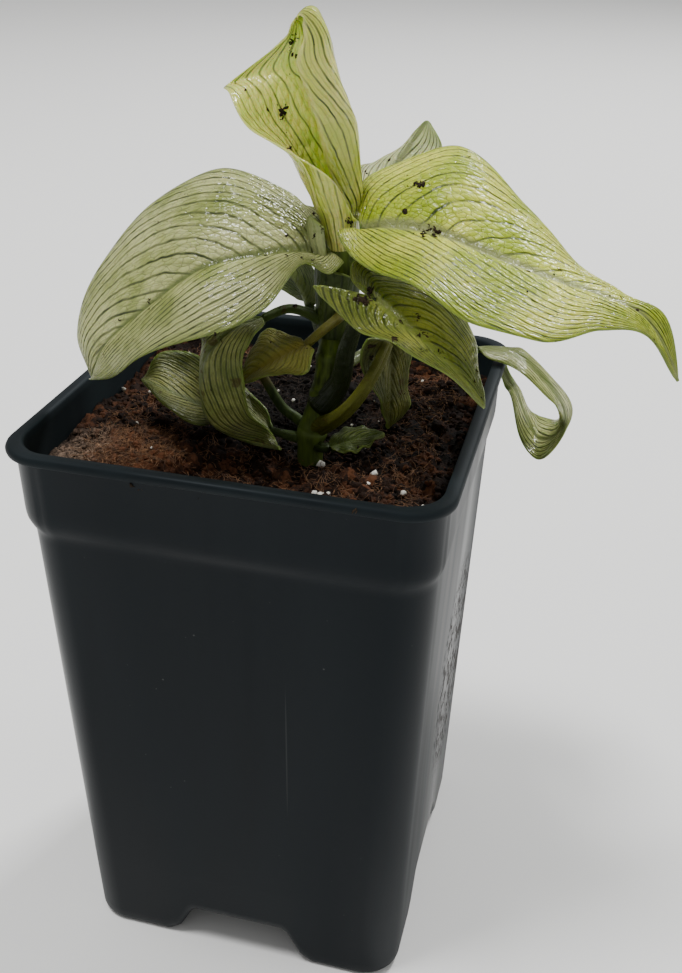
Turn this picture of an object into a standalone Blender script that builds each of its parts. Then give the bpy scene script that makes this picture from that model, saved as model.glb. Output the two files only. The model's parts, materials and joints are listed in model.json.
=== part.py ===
"""Potted milky way dieffenbachia.

A young foliage plant in a deep square nursery pot. The pot is one thin moulded shell with four hollow
feet, the soil fills it and carries clumps and grains on its surface, the stem stands in a hole in the soil,
and every leaf is one piece: a blade, its midrib and its stalk, seated on the stem.

Lengths in the lists below are in millimetres, with the pot's axis at X = Y = 0, the ground at Z = 0 and the
pot's front towards -Y. The finished model is moved so that its origin is the bottom centre of its box.
"""
import math
import random
from dataclasses import dataclass

import bmesh
import bpy
import numpy as np
from mathutils import Vector, noise

MM = 0.001
CLEARANCE = 0.3            # gap between two pieces that touch

# Pot
POT_HEIGHT = 152.5
RIM_SIDE = 103.0           # outside of the rolled rim
COLLAR_SIDE = 99.2         # the band below the rim
SHOULDER_SIDE = 96.2       # the body just under the collar
BASE_SIDE = 88.0
CORNER_RADIUS = 10.3
WALL = 1.2
COLLAR_DROP = 22.0         # from the rim down to the bottom of the collar
RIM_DEPTH = 3.4
FOOT_HEIGHT = 10.5
CHANNEL_WIDTH = 27.0       # gap between two feet, at the top
CHANNEL_SPREAD = 8.0       # how much wider the gap is near the ground
FOOT_CHAMFER = 2.5         # bevel of each foot's lower edges along the gaps
DRAIN_RADIUS = 3.5
CORNER_STEPS = 6
SIDE_STEPS = 4

# Soil
SOIL_LEVEL = 143.2
SOIL_RINGS = 13
SOIL_RELIEF = 4.6
LARGE_LUMP = 2.0           # lumps above this radius are finer and sit deeper

# Leaves
BLADE_THICKNESS = 0.8
BASE_ROUNDING = 0.045      # share of the blade's length over which its base is rounded
COLUMN_CROWDING = 1.5      # above 1, the columns crowd towards the midrib
STALK_EDGE = 12.0          # degrees between the stalk's widest line and the rows beside it


@dataclass(frozen=True)
class Leaf:
    """One leaf. Right and left are the half blades' reaches from the midrib, seen from stalk to tip."""
    name: str
    colour: tuple
    seat: float            # height on the stem where the stalk starts
    stalk: tuple
    rib: tuple
    right: tuple
    left: tuple
    radius: tuple          # of the stalk at the stem and at the blade
    arch: tuple            # rise of each half blade above its chord, one value or one for each rib point
    rows: int = 12
    columns: int = 3


STEM_PATH = ((11.4, -14.0, 126.0), (11.5, -14.0, 143.0), (12.2, -14.0, 150.0), (14.4, -12.6, 158.0),
             (15.0, -10.8, 165.0), (15.6, -8.8, 173.0), (16.2, -6.8, 181.0), (16.5, -5.4, 189.0),
             (15.8, -5.4, 195.0))
STEM_RADIUS = (2.7, 3.1, 3.2, 3.2, 3.0, 3.1, 3.9, 4.0, 3.5)
NODE_HEIGHTS = (149.0, 158.5, 167.0, 176.0, 184.0)
NODE_SWELL = 0.45
NODE_LENGTH = 1.6

MILKY = (0.50, 0.55, 0.36, 1.0)
LIME = (0.46, 0.56, 0.19, 1.0)
SILVER = (0.52, 0.56, 0.42, 1.0)
DEEP = (0.24, 0.33, 0.10, 1.0)
FADED = (0.50, 0.42, 0.13, 1.0)

LEAVES = (
    Leaf("leaf_large_left", MILKY, seat=184.5, stalk=((14.5, -8, 188.5),),
         rib=((13.5, -9.5, 191), (8, -12, 192), (-1, -16, 191), (-12, -19, 188), (-24, -21, 179),
              (-35, -22, 169), (-40, -22, 159)),
         right=((-2, 8, 5), (-8, 17, 7), (-13, 17, 15), (-19, 17, 9), (-18, 13, 3), (-11, 6, -1),
                (0, 0.5, 0)),
         left=((4, -6, -3), (2, -5, -1), (7, -15, -6), (5, -18, -8), (3, -12, -8), (2, -6, -6),
               (0, -0.5, 0)),
         radius=(1.7, 1.3), arch=(3.0, 2.0), rows=16, columns=4),
    Leaf("leaf_large_right", LIME, seat=187.0, stalk=((20.5, -7.5, 192),),
         rib=((21.5, -8.5, 196), (29, -11, 199), (40, -14, 199), (53, -17, 196), (66, -19, 193),
              (76, -20, 191), (84, -20, 187), (92, -20, 175)),
         right=((-5, -6, 2), (-7, -8, -5), (-5, -15, -6), (-3, -19, -7), (-2, -17, -7), (-1, -10, -3),
                (1, -3, -1), (0, -0.5, 0)),
         left=((2, 7, 4), (-5, 18, 6), (-2, 22, 14), (2, 21, 6), (2, 14, 0), (2, 7, -1), (2, 2, 0),
               (0, 0.5, 0)),
         radius=(1.7, 1.3), arch=(2.0, 3.0), rows=18, columns=4),
    Leaf("leaf_rolled_top", LIME, seat=193.0, stalk=((16.8, -4.2, 195),),
         rib=((17, -3, 197), (17, 0, 201), (16, 1, 208), (14, 1, 217), (13, 0, 224), (12, -2, 231),
              (11, -4, 237), (9, -6, 241), (6, -8, 239)),
         right=((0, -3, 2), (-1, -6, 1), (-3, -8, 2), (-3, -10, 2), (-5, -9, 2), (-5, -7, 0), (-3, -5, -1),
                (-1, -3, -2), (0, 0.5, 0)),
         left=((-2.5, -4, 0.5), (-5, -8, -2), (-7, -15, 4), (-16, -16, 1), (-20, -12, 0), (-22, -4, -6),
               (-13, 1, -6), (-6, 2, -6), (0, -0.5, 0)),
         radius=(1.4, 1.2), arch=((-1, -3, -5, -6, -6, -5, -3, -1, 0), (-2, -5, -6, -4, -3, -2, -1, 0, 0)),
         rows=18, columns=4),
    Leaf("leaf_back", SILVER, seat=189.0, stalk=((17.5, 3, 193),),
         rib=((18, 8, 196), (20, 13, 200), (23, 17, 205), (26, 20, 210), (29, 22, 215)),
         right=((4, 1, 3), (8, 0, 3), (10, 1, 1), (7, 1, 0), (0.5, 0, 0)),
         left=((-3, 4, 3), (-7, 8, 2), (-7, 7, -1), (-4, 3, -3), (-0.5, 0, 0)),
         radius=(1.4, 1.0), arch=(1.2, 1.2)),
    Leaf("leaf_front_small", LIME, seat=156.0, stalk=((18.5, -14, 163), (20.5, -16, 172), (24, -19, 181)),
         rib=((28, -22, 186), (35, -26, 183), (41, -29, 180), (48, -31, 175), (54, -32, 169)),
         right=((-10, -7, 4), (-10, -3, -1), (-5, -7, 2), (-2, -5, 2), (0, -0.5, 0)),
         left=((-8, 12, 3), (5, 17, 4), (7, 14, -1), (3, 8, -1), (0, 0.5, 0)),
         radius=(2.8, 1.2), arch=(0.5, 1.5)),
    Leaf("leaf_drooping", MILKY, seat=173.0, stalk=((11, -10, 176.5), (5, -10, 177.5)),
         rib=((0, -14, 176), (-6, -20, 174), (-11, -23, 168), (-12, -24, 160), (-10, -23, 152),
              (-2, -21, 147.5), (6, -19.5, 146)),
         right=((-4, 1, -1), (-8, 2, -1), (-2, 10, -1), (3, 10, 0), (3, 7, 1), (2, 5, 0), (0, 0.5, 0)),
         left=((2, -3, 1), (7, -3, 1), (10, -1, 3), (11, -1, 4), (10, 0, 4), (5, 3, 2), (0, -0.5, 0)),
         radius=(1.3, 1.0), arch=(1.5, 1.5), rows=14),
    Leaf("leaf_low_left", MILKY, seat=147.0, stalk=((6, -13.5, 147),),
         rib=((1, -12, 147), (-7, -11.5, 149), (-15, -15, 152.5), (-22, -17, 156), (-30, -16, 158)),
         right=((-1, 4, 2), (-4, 9, 6), (-5, 9, 9), (-5, 7, 7), (0, 0.5, 0)),
         left=((-1, -2, 0), (-4, -2, -1), (1, -8, -3), (0, -6, -2), (0, -0.5, 0)),
         radius=(1.3, 0.9), arch=(-1.5, 0.8)),
    Leaf("leaf_yellowing", FADED, seat=178.0, stalk=((18, -13, 178.5), (15, -16.5, 176)),
         rib=((11, -17, 172), (7, -18, 170), (3, -18, 167), (-1, -18, 164), (-5, -18, 160)),
         right=((-1, 3, 0), (-3, 7, 2), (-3, 8, 5), (-2, 5, 4), (0, 0.5, 0)),
         left=((3, -2, 1), (6, -5, -2), (4, -3, -1), (2, -3, 0), (0, -0.5, 0)),
         radius=(1.3, 1.1), arch=(0.6, 0.6)),
    Leaf("leaf_hanging_right", FADED, seat=150.0,
         stalk=((18, -17.5, 154.5), (23, -18, 160), (27, -15.5, 167)),
         rib=((29, -11, 173), (29, -8, 168), (29, -7, 161), (29, -7, 155), (29, -7, 149)),
         right=((-4, -3, 2), (-6, -6, 0), (-2, -5, -2), (-1, -2, -2), (0, -0.5, 0)),
         left=((5, 4, 0), (4, 4, -2), (3, 5, -2), (4, 4, -2), (0, 0.5, 0)),
         radius=(2.0, 1.3), arch=(0.6, 0.6)),
    Leaf("leaf_low_right", DEEP, seat=146.5, stalk=((15, -16.5, 146.5),),
         rib=((17, -16.5, 147), (20, -15.5, 148), (24, -14, 149), (29, -12, 150)),
         right=((1, -2, 0), (3, -4, -0.5), (2, -3, -0.5), (0, -0.5, 0)),
         left=((-1, 3, 0), (-1, 5, 1), (0, 4, 1), (0, 0.5, 0)),
         radius=(1.2, 0.9), arch=(0.8, 0.8)),
    Leaf("leaf_over_rim", MILKY, seat=162.0, stalk=((23, 4, 165), (33, 20, 162)),
         rib=((44, 34, 156), (52, 34, 156), (57, 32, 154), (64, 31, 148), (68, 32, 141), (67, 36, 132),
              (62, 41, 128), (58, 44, 132), (54, 46, 139), (52, 46, 142)),
         right=((1, -4, 1), (0, -4, 0), (1, -5, -2), (0, -5, -1), (-1, -4, 2), (-1, 8, 1), (-1, 8, 3),
                (0, 6, 1), (1, 3, 0), (1, 0, 1)),
         left=((-1, 4, 0), (0, 4, 1), (-1, 5, 3), (0, 5, 1), (1, 4, -1), (0, -8, 0), (1, -9, -2),
               (0, -6, -1), (-1, -3, 0), (-1, -1, -1)),
         radius=(1.3, 1.0), arch=(0.5, 0.5), rows=20),
    Leaf("leaf_hidden_left", DEEP, seat=168.0, stalk=((10.5, -4, 171.5),),
         rib=((8, 0, 175), (4, 5, 178), (-2, 10, 181), (-10, 16, 182), (-17, 20, 183)),
         right=((-2, 2, 0), (-4, 3, -4), (-5, 4, -6), (-4, 3, -4), (0, 0.5, 0)),
         left=((2, -2, 2), (5, -5, 4), (6, -6, 4), (5, -5, 4), (0, -0.5, 0)),
         radius=(1.4, 1.0), arch=(0.8, 0.8), rows=10),
)

BARE_STALK_SEAT = 149.5
BARE_STALK = ((7.0, -10.0, 150.0), (3.0, -9.5, 152.5), (-1.5, -9.5, 159.5))


def smooth(points, count):
    """Points along a Catmull-Rom curve through the given points, evenly spaced in its parameter."""
    return catmull_rom(points, np.linspace(0.0, len(points) - 1, count))


def catmull_rom(points, places):
    """Values of the smooth curve through the points at the given places, counted in points."""
    values = np.asarray(points, dtype=float)
    padded = np.vstack([2 * values[0] - values[1], values, 2 * values[-1] - values[-2]])
    start = np.minimum(places.astype(int), len(padded) - 4)
    f = (places - start)[:, None]
    p0, p1, p2, p3 = (padded[start + k] for k in range(4))
    return 0.5 * (2 * p1 + (p2 - p0) * f + (2 * p0 - 5 * p1 + 4 * p2 - p3) * f ** 2
                  + (3 * p1 - p0 - 3 * p2 + p3) * f ** 3)


def unit(vectors):
    """Rows of vectors scaled to length one."""
    return vectors / np.maximum(np.linalg.norm(vectors, axis=-1, keepdims=True), 1e-9)


def material(name, colour, roughness):
    """A plain Principled material."""
    result = bpy.data.materials.new(name)
    result.use_nodes = True
    shader = result.node_tree.nodes["Principled BSDF"]
    shader.inputs["Base Color"].default_value = colour
    shader.inputs["Roughness"].default_value = roughness
    shader.inputs["Metallic"].default_value = 0.0
    result.diffuse_color = colour
    return result


def add_object(name, mesh, parent=None):
    """Link a new object that holds the mesh."""
    result = bpy.data.objects.new(name, mesh)
    bpy.context.scene.collection.objects.link(result)
    result.parent = parent
    return result


def mesh_from(name, vertices, faces):
    """A mesh from millimetre vertices and faces, with its faces pointing out."""
    mesh = bpy.data.meshes.new(name)
    mesh.from_pydata([Vector(v) * MM for v in vertices], [], faces)
    bm = bmesh.new()
    bm.from_mesh(mesh)
    bmesh.ops.remove_doubles(bm, verts=bm.verts, dist=0.001 * MM)
    bmesh.ops.recalc_face_normals(bm, faces=bm.faces)
    bm.to_mesh(mesh)
    bm.free()
    return mesh


def bake(target):
    """Replace the object's mesh by its evaluated one and drop its modifiers."""
    bpy.context.view_layer.update()
    depsgraph = bpy.context.evaluated_depsgraph_get()
    mesh = bpy.data.meshes.new_from_object(target.evaluated_get(depsgraph))
    target.modifiers.clear()
    target.data = mesh


def combine(target, other, operation):
    """Join the other object to the target, or cut it out of it, and remove the other."""
    modifier = target.modifiers.new(operation.title(), "BOOLEAN")
    modifier.operation = operation
    modifier.solver = "EXACT"
    modifier.object = other
    bake(target)
    bpy.data.objects.remove(other)


def tube(name, path, radii, bevel_resolution):
    """A closed tube along the path, as a mesh object, with its own radius at each point."""
    curve = bpy.data.curves.new(name, "CURVE")
    curve.dimensions = "3D"
    curve.bevel_depth = MM
    curve.bevel_resolution = bevel_resolution
    curve.use_fill_caps = True
    spline = curve.splines.new("POLY")
    spline.points.add(len(path) - 1)
    for point, place, radius in zip(spline.points, path, radii):
        point.co = (*(np.asarray(place) * MM), 1.0)
        point.radius = radius
    holder = add_object(name + "_curve", curve)
    bpy.context.view_layer.update()
    depsgraph = bpy.context.evaluated_depsgraph_get()
    mesh = bpy.data.meshes.new_from_object(holder.evaluated_get(depsgraph))
    bpy.data.objects.remove(holder)
    bm = bmesh.new()
    bm.from_mesh(mesh)
    bmesh.ops.remove_doubles(bm, verts=bm.verts, dist=0.001 * MM)
    bmesh.ops.recalc_face_normals(bm, faces=bm.faces)
    bm.to_mesh(mesh)
    bm.free()
    return add_object(name, mesh)


def square_ring(side, radius, height):
    """A rounded square outline, corner by corner, with points along its straight sides too."""
    reach = side / 2 - radius
    points = []
    for corner in range(4):
        turn = math.radians(90 * corner)
        centre = Vector((reach, reach, 0))
        for step in range(CORNER_STEPS + 1):
            angle = math.radians(90 * step / CORNER_STEPS)
            points.append((centre.x + radius * math.cos(angle), centre.y + radius * math.sin(angle), turn))
        for step in range(1, SIDE_STEPS):
            points.append((reach - 2 * reach * step / SIDE_STEPS, side / 2, turn))
    return [(x * math.cos(t) - y * math.sin(t), x * math.sin(t) + y * math.cos(t), height)
            for x, y, t in points]


def loft(name, rings):
    """A closed solid through the rings, capped at both ends."""
    count = len(rings[0])
    vertices = [point for ring in rings for point in ring]
    faces = [tuple(reversed(range(count)))]
    for level in range(len(rings) - 1):
        low, high = level * count, (level + 1) * count
        for k in range(count):
            n = (k + 1) % count
            faces.append((low + k, low + n, high + n, high + k))
    faces.append(tuple(range((len(rings) - 1) * count, len(rings) * count)))
    return add_object(name, mesh_from(name, vertices, faces))


def side_at(height):
    """Outside width of the pot's tapered body at a height."""
    return BASE_SIDE + (SHOULDER_SIDE - BASE_SIDE) * height / (POT_HEIGHT - COLLAR_DROP)


def channel(name, length, grow):
    """The gap between two feet, as a bar with sloping sides that runs right across the pot."""
    half_top = CHANNEL_WIDTH / 2 - grow
    half_low = (CHANNEL_WIDTH + CHANNEL_SPREAD) / 2 - grow
    half_mouth = half_low + 2.0 * FOOT_CHAMFER
    top = FOOT_HEIGHT - grow
    profile = ((-half_mouth, -FOOT_CHAMFER), (half_mouth, -FOOT_CHAMFER), (half_low, FOOT_CHAMFER),
               (half_top, top), (-half_top, top), (-half_low, FOOT_CHAMFER))
    vertices = [(x, y, z) for y in (-length / 2, length / 2) for x, z in profile]
    count = len(profile)
    faces = [tuple(range(count)), tuple(range(2 * count - 1, count - 1, -1))]
    faces += [(k, k + count, (k + 1) % count + count, (k + 1) % count) for k in range(count)]
    return add_object(name, mesh_from(name, vertices, faces))


def cut_channels(target, grow):
    """Cut the cross of channels under the pot's floor, each narrower by grow on every side."""
    for turn in (0.0, 90.0):
        bar = channel("channel", 2 * BASE_SIDE, grow)
        bar.rotation_euler.z = math.radians(turn)
        combine(target, bar, "DIFFERENCE")


def make_pot(parent):
    """The pot: outer body with feet, less the hollow inside it and the drain holes."""
    collar_low = POT_HEIGHT - COLLAR_DROP
    rim_low = POT_HEIGHT - RIM_DEPTH
    outside = [(0.0, BASE_SIDE - 2.6), (0.7, BASE_SIDE - 0.9), (2.2, side_at(2.2)),
               (FOOT_HEIGHT, side_at(FOOT_HEIGHT)), (collar_low, SHOULDER_SIDE),
               (collar_low + 1.2, SHOULDER_SIDE + 1.6), (collar_low + 3.2, COLLAR_SIDE - 0.4),
               (collar_low + 6.0, COLLAR_SIDE),
               (rim_low, COLLAR_SIDE + 0.6), (rim_low + 0.2, RIM_SIDE - 0.8), (rim_low + 1.0, RIM_SIDE),
               (POT_HEIGHT - 0.9, RIM_SIDE), (POT_HEIGHT, RIM_SIDE - 1.4)]
    pot = loft("pot", [square_ring(side, CORNER_RADIUS - (RIM_SIDE - side) * 0.05, z) for z, side in outside])
    cut_channels(pot, 0.0)
    hollow = loft("hollow", inside_rings(0.0, POT_HEIGHT + 1.0))
    cut_channels(hollow, -WALL)
    combine(pot, hollow, "DIFFERENCE")
    for x, y in drain_places():
        bpy.ops.mesh.primitive_cylinder_add(vertices=16, radius=DRAIN_RADIUS * MM, depth=6 * WALL * MM,
                                            location=(x * MM, y * MM, (0.0 if x else FOOT_HEIGHT) * MM))
        combine(pot, bpy.context.object, "DIFFERENCE")
    pot.parent = parent
    pot.data.materials.clear()
    pot.data.materials.append(material("pot_black_plastic", (0.018, 0.022, 0.025, 1.0), 0.38))
    return pot


def drain_places():
    """One drain hole in the middle of the raised floor and one in each foot."""
    reach = (BASE_SIDE + CHANNEL_WIDTH) / 4 - 1.0
    return [(0.0, 0.0)] + [(sx * reach, sy * reach) for sx in (-1, 1) for sy in (-1, 1)]


def inside_rings(shrink, top):
    """Rings of the space inside the walls, from the floor of the feet to a height."""
    collar_low = POT_HEIGHT - COLLAR_DROP
    walls = [(WALL, BASE_SIDE - 4.0), (WALL + 2.0, side_at(WALL + 2.0) - 2 * WALL),
             (collar_low, SHOULDER_SIDE - 2 * WALL), (collar_low + 3.4, COLLAR_SIDE - 0.4 - 2 * WALL)]
    walls = [(z, side) for z, side in walls if z < top]
    walls.append((top, COLLAR_SIDE - 0.2 - 2 * WALL))
    radius = CORNER_RADIUS - WALL
    return [square_ring(side - 2 * shrink, radius - shrink, z + (shrink if z < 5.0 else 0.0))
            for z, side in walls]


def soil_height(x, y):
    """Height of the soil's surface: low round the stem, mounded towards the front left and the back."""
    place = Vector((x * 0.055, y * 0.055, 3.7))
    broad = noise.noise(place)
    fine = noise.noise(place * 3.4)
    mound = 2.6 * math.exp(-((x + 26) ** 2 + (y + 26) ** 2) / 320.0)
    dip = 1.6 * math.exp(-((x - 14) ** 2 + (y + 14) ** 2) / 260.0)
    return SOIL_LEVEL + SOIL_RELIEF * (0.75 * broad + 0.35 * fine) + mound - dip


def make_soil(parent, stem_cutter):
    """The soil: the filling of the pot, with a rough top, clumps and grains, and the stem's hole."""
    rings = inside_rings(CLEARANCE, SOIL_LEVEL - 5.0)
    count = len(rings[0])
    vertices = [point for ring in rings for point in ring]
    edge = rings[-1]
    shares = [math.sqrt(k / SOIL_RINGS) for k in range(SOIL_RINGS, 0, -1)]
    for share in shares:
        vertices += [(x * share, y * share, soil_height(x * share, y * share)) for x, y, _ in edge]
    levels = len(rings) + len(shares)
    faces = [tuple(reversed(range(count)))]
    for level in range(levels - 1):
        low, high = level * count, (level + 1) * count
        for k in range(count):
            n = (k + 1) % count
            faces.append((low + k, low + n, high + n, high + k))
    middle = len(vertices)
    vertices.append((0.0, 0.0, soil_height(0.0, 0.0)))
    last = (levels - 1) * count
    faces += [(last + k, last + (k + 1) % count, middle) for k in range(count)]
    soil = add_object("soil", mesh_from("soil", vertices, faces))
    cut_channels(soil, -WALL - CLEARANCE)
    add_grains(soil)
    combine(soil, stem_cutter, "DIFFERENCE")
    soil.parent = parent
    soil.data.materials.clear()
    soil.data.materials.append(material("potting_soil", (0.085, 0.042, 0.025, 1.0), 0.95))
    return soil


def add_grains(soil):
    """Clumps of coir and grains of perlite, sunk into the soil's surface."""
    draw = random.Random(11)
    lumps = [(-25, -28, 7.5), (-34, -24, 6.0), (-17, -33, 5.0), (-32, -36, 4.4), (-26, -13, 4.6),
             (-2, -34, 3.6), (31, -35, 3.6), (38, -12, 4.2)]
    lumps += [(draw.uniform(-43, 43), draw.uniform(-43, 43), draw.uniform(0.9, 1.5)) for _ in range(14)]
    pile = bpy.data.collections.new("grains")
    bpy.context.scene.collection.children.link(pile)
    for x, y, size in lumps:
        bm = bmesh.new()
        large = size > LARGE_LUMP
        bmesh.ops.create_icosphere(bm, subdivisions=2 if large else 1, radius=size * MM)
        sink = (0.2 if large else 0.1) * size
        for vertex in bm.verts:
            vertex.co *= 1.0 + 0.22 * noise.noise(vertex.co / MM / size * 1.3 + Vector((x, y, 0)))
            vertex.co.z *= 0.75
            vertex.co += Vector((x, y, soil_height(x, y) - sink)) * MM
        mesh = bpy.data.meshes.new("lump")
        bm.to_mesh(mesh)
        bm.free()
        pile.objects.link(bpy.data.objects.new("lump", mesh))
    modifier = soil.modifiers.new("Grains", "BOOLEAN")
    modifier.operation = "UNION"
    modifier.operand_type = "COLLECTION"
    modifier.collection = pile
    modifier.solver = "EXACT"
    bake(soil)
    for lump in list(pile.objects):
        bpy.data.objects.remove(lump)
    bpy.data.collections.remove(pile)


def stem_profile(count):
    """The stem's centre line and radius, with a swelling at each leaf scar."""
    path = smooth(STEM_PATH, count)
    radii = smooth([(r, 0.0) for r in STEM_RADIUS], count)[:, 0]
    for height in NODE_HEIGHTS:
        radii = radii + NODE_SWELL * np.exp(-((path[:, 2] - height) / NODE_LENGTH) ** 2)
    return path, radii


def stem_tube(name, extra, reach=0.0):
    """The stem as a tube, thicker by extra, and longer at both ends by reach."""
    path, radii = stem_profile(44)
    path[0, 2] -= reach
    path[-1, 2] += reach
    return tube(name, path, radii + extra, bevel_resolution=3)


def make_stem(parent):
    """The stem: a fleshy cane with a ring at each leaf scar."""
    stem = stem_tube("stem", 0.0)
    stem.parent = parent
    stem.data.materials.append(material("stem_green", (0.12, 0.20, 0.035, 1.0), 0.45))
    return stem


def on_stem(height):
    """The point of the stem's centre line at a height."""
    path = smooth(STEM_PATH, 200)
    return path[np.argmin(np.abs(path[:, 2] - height))]


def blade_rows(leaf):
    """Places along the blade, closer together near its rounded base."""
    even = np.linspace(0.0, 1.0, leaf.rows)
    return np.unique(np.concatenate([[BASE_ROUNDING * 0.1, BASE_ROUNDING * 0.4], even]))[1:]


def column_places(leaf):
    """Places of the columns of one half blade, from beside the midrib to the margin."""
    return [(k / leaf.columns) ** COLUMN_CROWDING for k in range(1, leaf.columns + 1)]


def blade_surface(leaf):
    """Points in rows across the blade from its right margin to its left one, and the midrib's direction."""
    share = blade_rows(leaf)
    places = share * (len(leaf.rib) - 1)
    rib, right, left = (catmull_rom(rail, places) for rail in (leaf.rib, leaf.right, leaf.left))
    rounding = np.sqrt(1.0 - (1.0 - np.clip(share / BASE_ROUNDING, 0.0, 1.0)) ** 2)[:, None]
    along = unit(np.gradient(rib, axis=0))
    halves = []
    for reach, arch, side in ((right * rounding, leaf.arch[0], 1.0), (left * rounding, leaf.arch[1], -1.0)):
        up = unit(np.cross(reach, along)) * side
        width = np.linalg.norm(reach, axis=1)
        if isinstance(arch, tuple):
            rise = catmull_rom([(value, 0.0) for value in arch], places)[:, 0]
        else:
            rise = arch * width / width.max()
        halves.append([rib + reach * q + up * (4 * q * (1 - q) * rise)[:, None] for q in column_places(leaf)])
    return np.stack(halves[0][::-1] + [rib] + halves[1], axis=1), along


def blade_shell(leaf):
    """Upper and lower faces of the blade, with the midrib as a keel on the lower one."""
    grid, along = blade_surface(leaf)
    across = np.gradient(grid, axis=1)
    lengthwise = np.gradient(grid, axis=0)
    lengthwise[:3] = along[:3, None]
    up = unit(np.cross(lengthwise, across))
    middle = grid.shape[1] // 2
    keel = np.zeros(grid.shape[:2])
    keel[:, middle] = np.linspace(2.0 * leaf.radius[1] - BLADE_THICKNESS, 0.0, len(grid))
    upper = grid + up * BLADE_THICKNESS / 2
    lower = grid - up * (BLADE_THICKNESS / 2 + keel[:, :, None])
    return upper, lower, up[0, middle]


def stalk_shell(leaf, up):
    """Upper and lower halves of the round stalk, from the stem's centre line to the blade."""
    path = smooth((tuple(on_stem(leaf.seat)), *leaf.stalk, leaf.rib[0]), 3 * (len(leaf.stalk) + 1) + 1)
    along = unit(np.gradient(path, axis=0))
    radii = np.linspace(leaf.radius[0], leaf.radius[1], len(path))
    columns = 2 * leaf.columns + 1
    angles = np.radians(np.linspace(STALK_EDGE, 180.0 - STALK_EDGE, columns))
    rows = []
    for place, direction, radius in zip(path[::-1], along[::-1], radii[::-1]):
        up = unit(up - direction * (up @ direction))
        side = np.cross(direction, up)
        rows.append([[place + radius * (side * math.cos(a) + up * math.sin(a) * face) for a in angles]
                     for face in (1.0, -1.0)])
    rows = np.array(rows[::-1])
    return rows[:, 0], rows[:, 1]


def make_leaf(leaf, parent):
    """One leaf, lofted from the stem's centre line to the tip, then cut clear of the stem."""
    upper, lower, up = blade_shell(leaf)
    stalk_upper, stalk_lower = stalk_shell(leaf, up)
    upper, lower = np.vstack([stalk_upper[:-1], upper]), np.vstack([stalk_lower[:-1], lower])
    rows, columns, _ = upper.shape
    total = rows * columns
    faces = []
    for r in range(rows - 1):
        for c in range(columns - 1):
            a, b = r * columns + c, r * columns + c + 1
            d, e = a + columns, b + columns
            triangles = ((a, b, e), (a, e, d)) if c < columns // 2 else ((a, b, d), (b, e, d))
            for triangle in triangles:
                faces.append(triangle)
                faces.append(tuple(total + k for k in reversed(triangle)))
        for c in (0, columns - 1):
            a = r * columns + c
            faces.append((a, a + columns, a + columns + total, a + total))
    for r in (0, rows - 1):
        row = [r * columns + c for c in range(columns)]
        faces.append(tuple(row + [total + k for k in reversed(row)]))
    blade = add_object(leaf.name, mesh_from(leaf.name, np.vstack([upper, lower]).reshape(-1, 3), faces))
    combine(blade, stem_tube("stem_cutter", CLEARANCE, CLEARANCE), "DIFFERENCE")
    blade.parent = parent
    blade.data.materials.clear()
    blade.data.materials.append(material(leaf.name + "_green", leaf.colour, 0.35))
    return blade


def make_bare_stalk(parent):
    """A leaf stalk that has lost its blade."""
    path = smooth((tuple(on_stem(BARE_STALK_SEAT)), *BARE_STALK), 12)
    stalk = tube("stalk_bare", path, np.linspace(1.4, 1.1, len(path)), bevel_resolution=1)
    combine(stalk, stem_tube("stem_cutter", CLEARANCE, CLEARANCE), "DIFFERENCE")
    stalk.parent = parent
    stalk.data.materials.clear()
    stalk.data.materials.append(material("stalk_green", DEEP, 0.5))
    return stalk


def centre_on_ground(root):
    """Move the whole model so that the bottom centre of its box is the origin."""
    bpy.context.view_layer.update()
    corners = [child.matrix_world @ vertex.co for child in root.children for vertex in child.data.vertices]
    low = [min(c[k] for c in corners) for k in range(3)]
    high = [max(c[k] for c in corners) for k in range(3)]
    root.location = (-(low[0] + high[0]) / 2, -(low[1] + high[1]) / 2, -low[2])


def main():
    """Clear the scene and build the plant and its pot under one empty."""
    for old in list(bpy.data.objects):
        bpy.data.objects.remove(old)
    root = add_object("potted_plant", None)
    make_pot(root)
    make_soil(root, stem_tube("stem_cutter", CLEARANCE, CLEARANCE))
    make_stem(root)
    for leaf in LEAVES:
        make_leaf(leaf, root)
    make_bare_stalk(root)
    centre_on_ground(root)


main()
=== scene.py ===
"""Potted milky way dieffenbachia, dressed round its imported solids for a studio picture.

Lengths in the lists below are in millimetres, with the pot's axis at X = Y = 0, the ground at Z = 0 and the
pot's front towards -Y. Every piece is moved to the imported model's own frame when its mesh is made.
"""
from __future__ import annotations

import json
import logging
import math
import random
from dataclasses import dataclass
from enum import Enum

import bmesh
import bpy
import numpy as np
from mathutils import Matrix, Vector, noise
from mathutils.bvhtree import BVHTree

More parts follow.
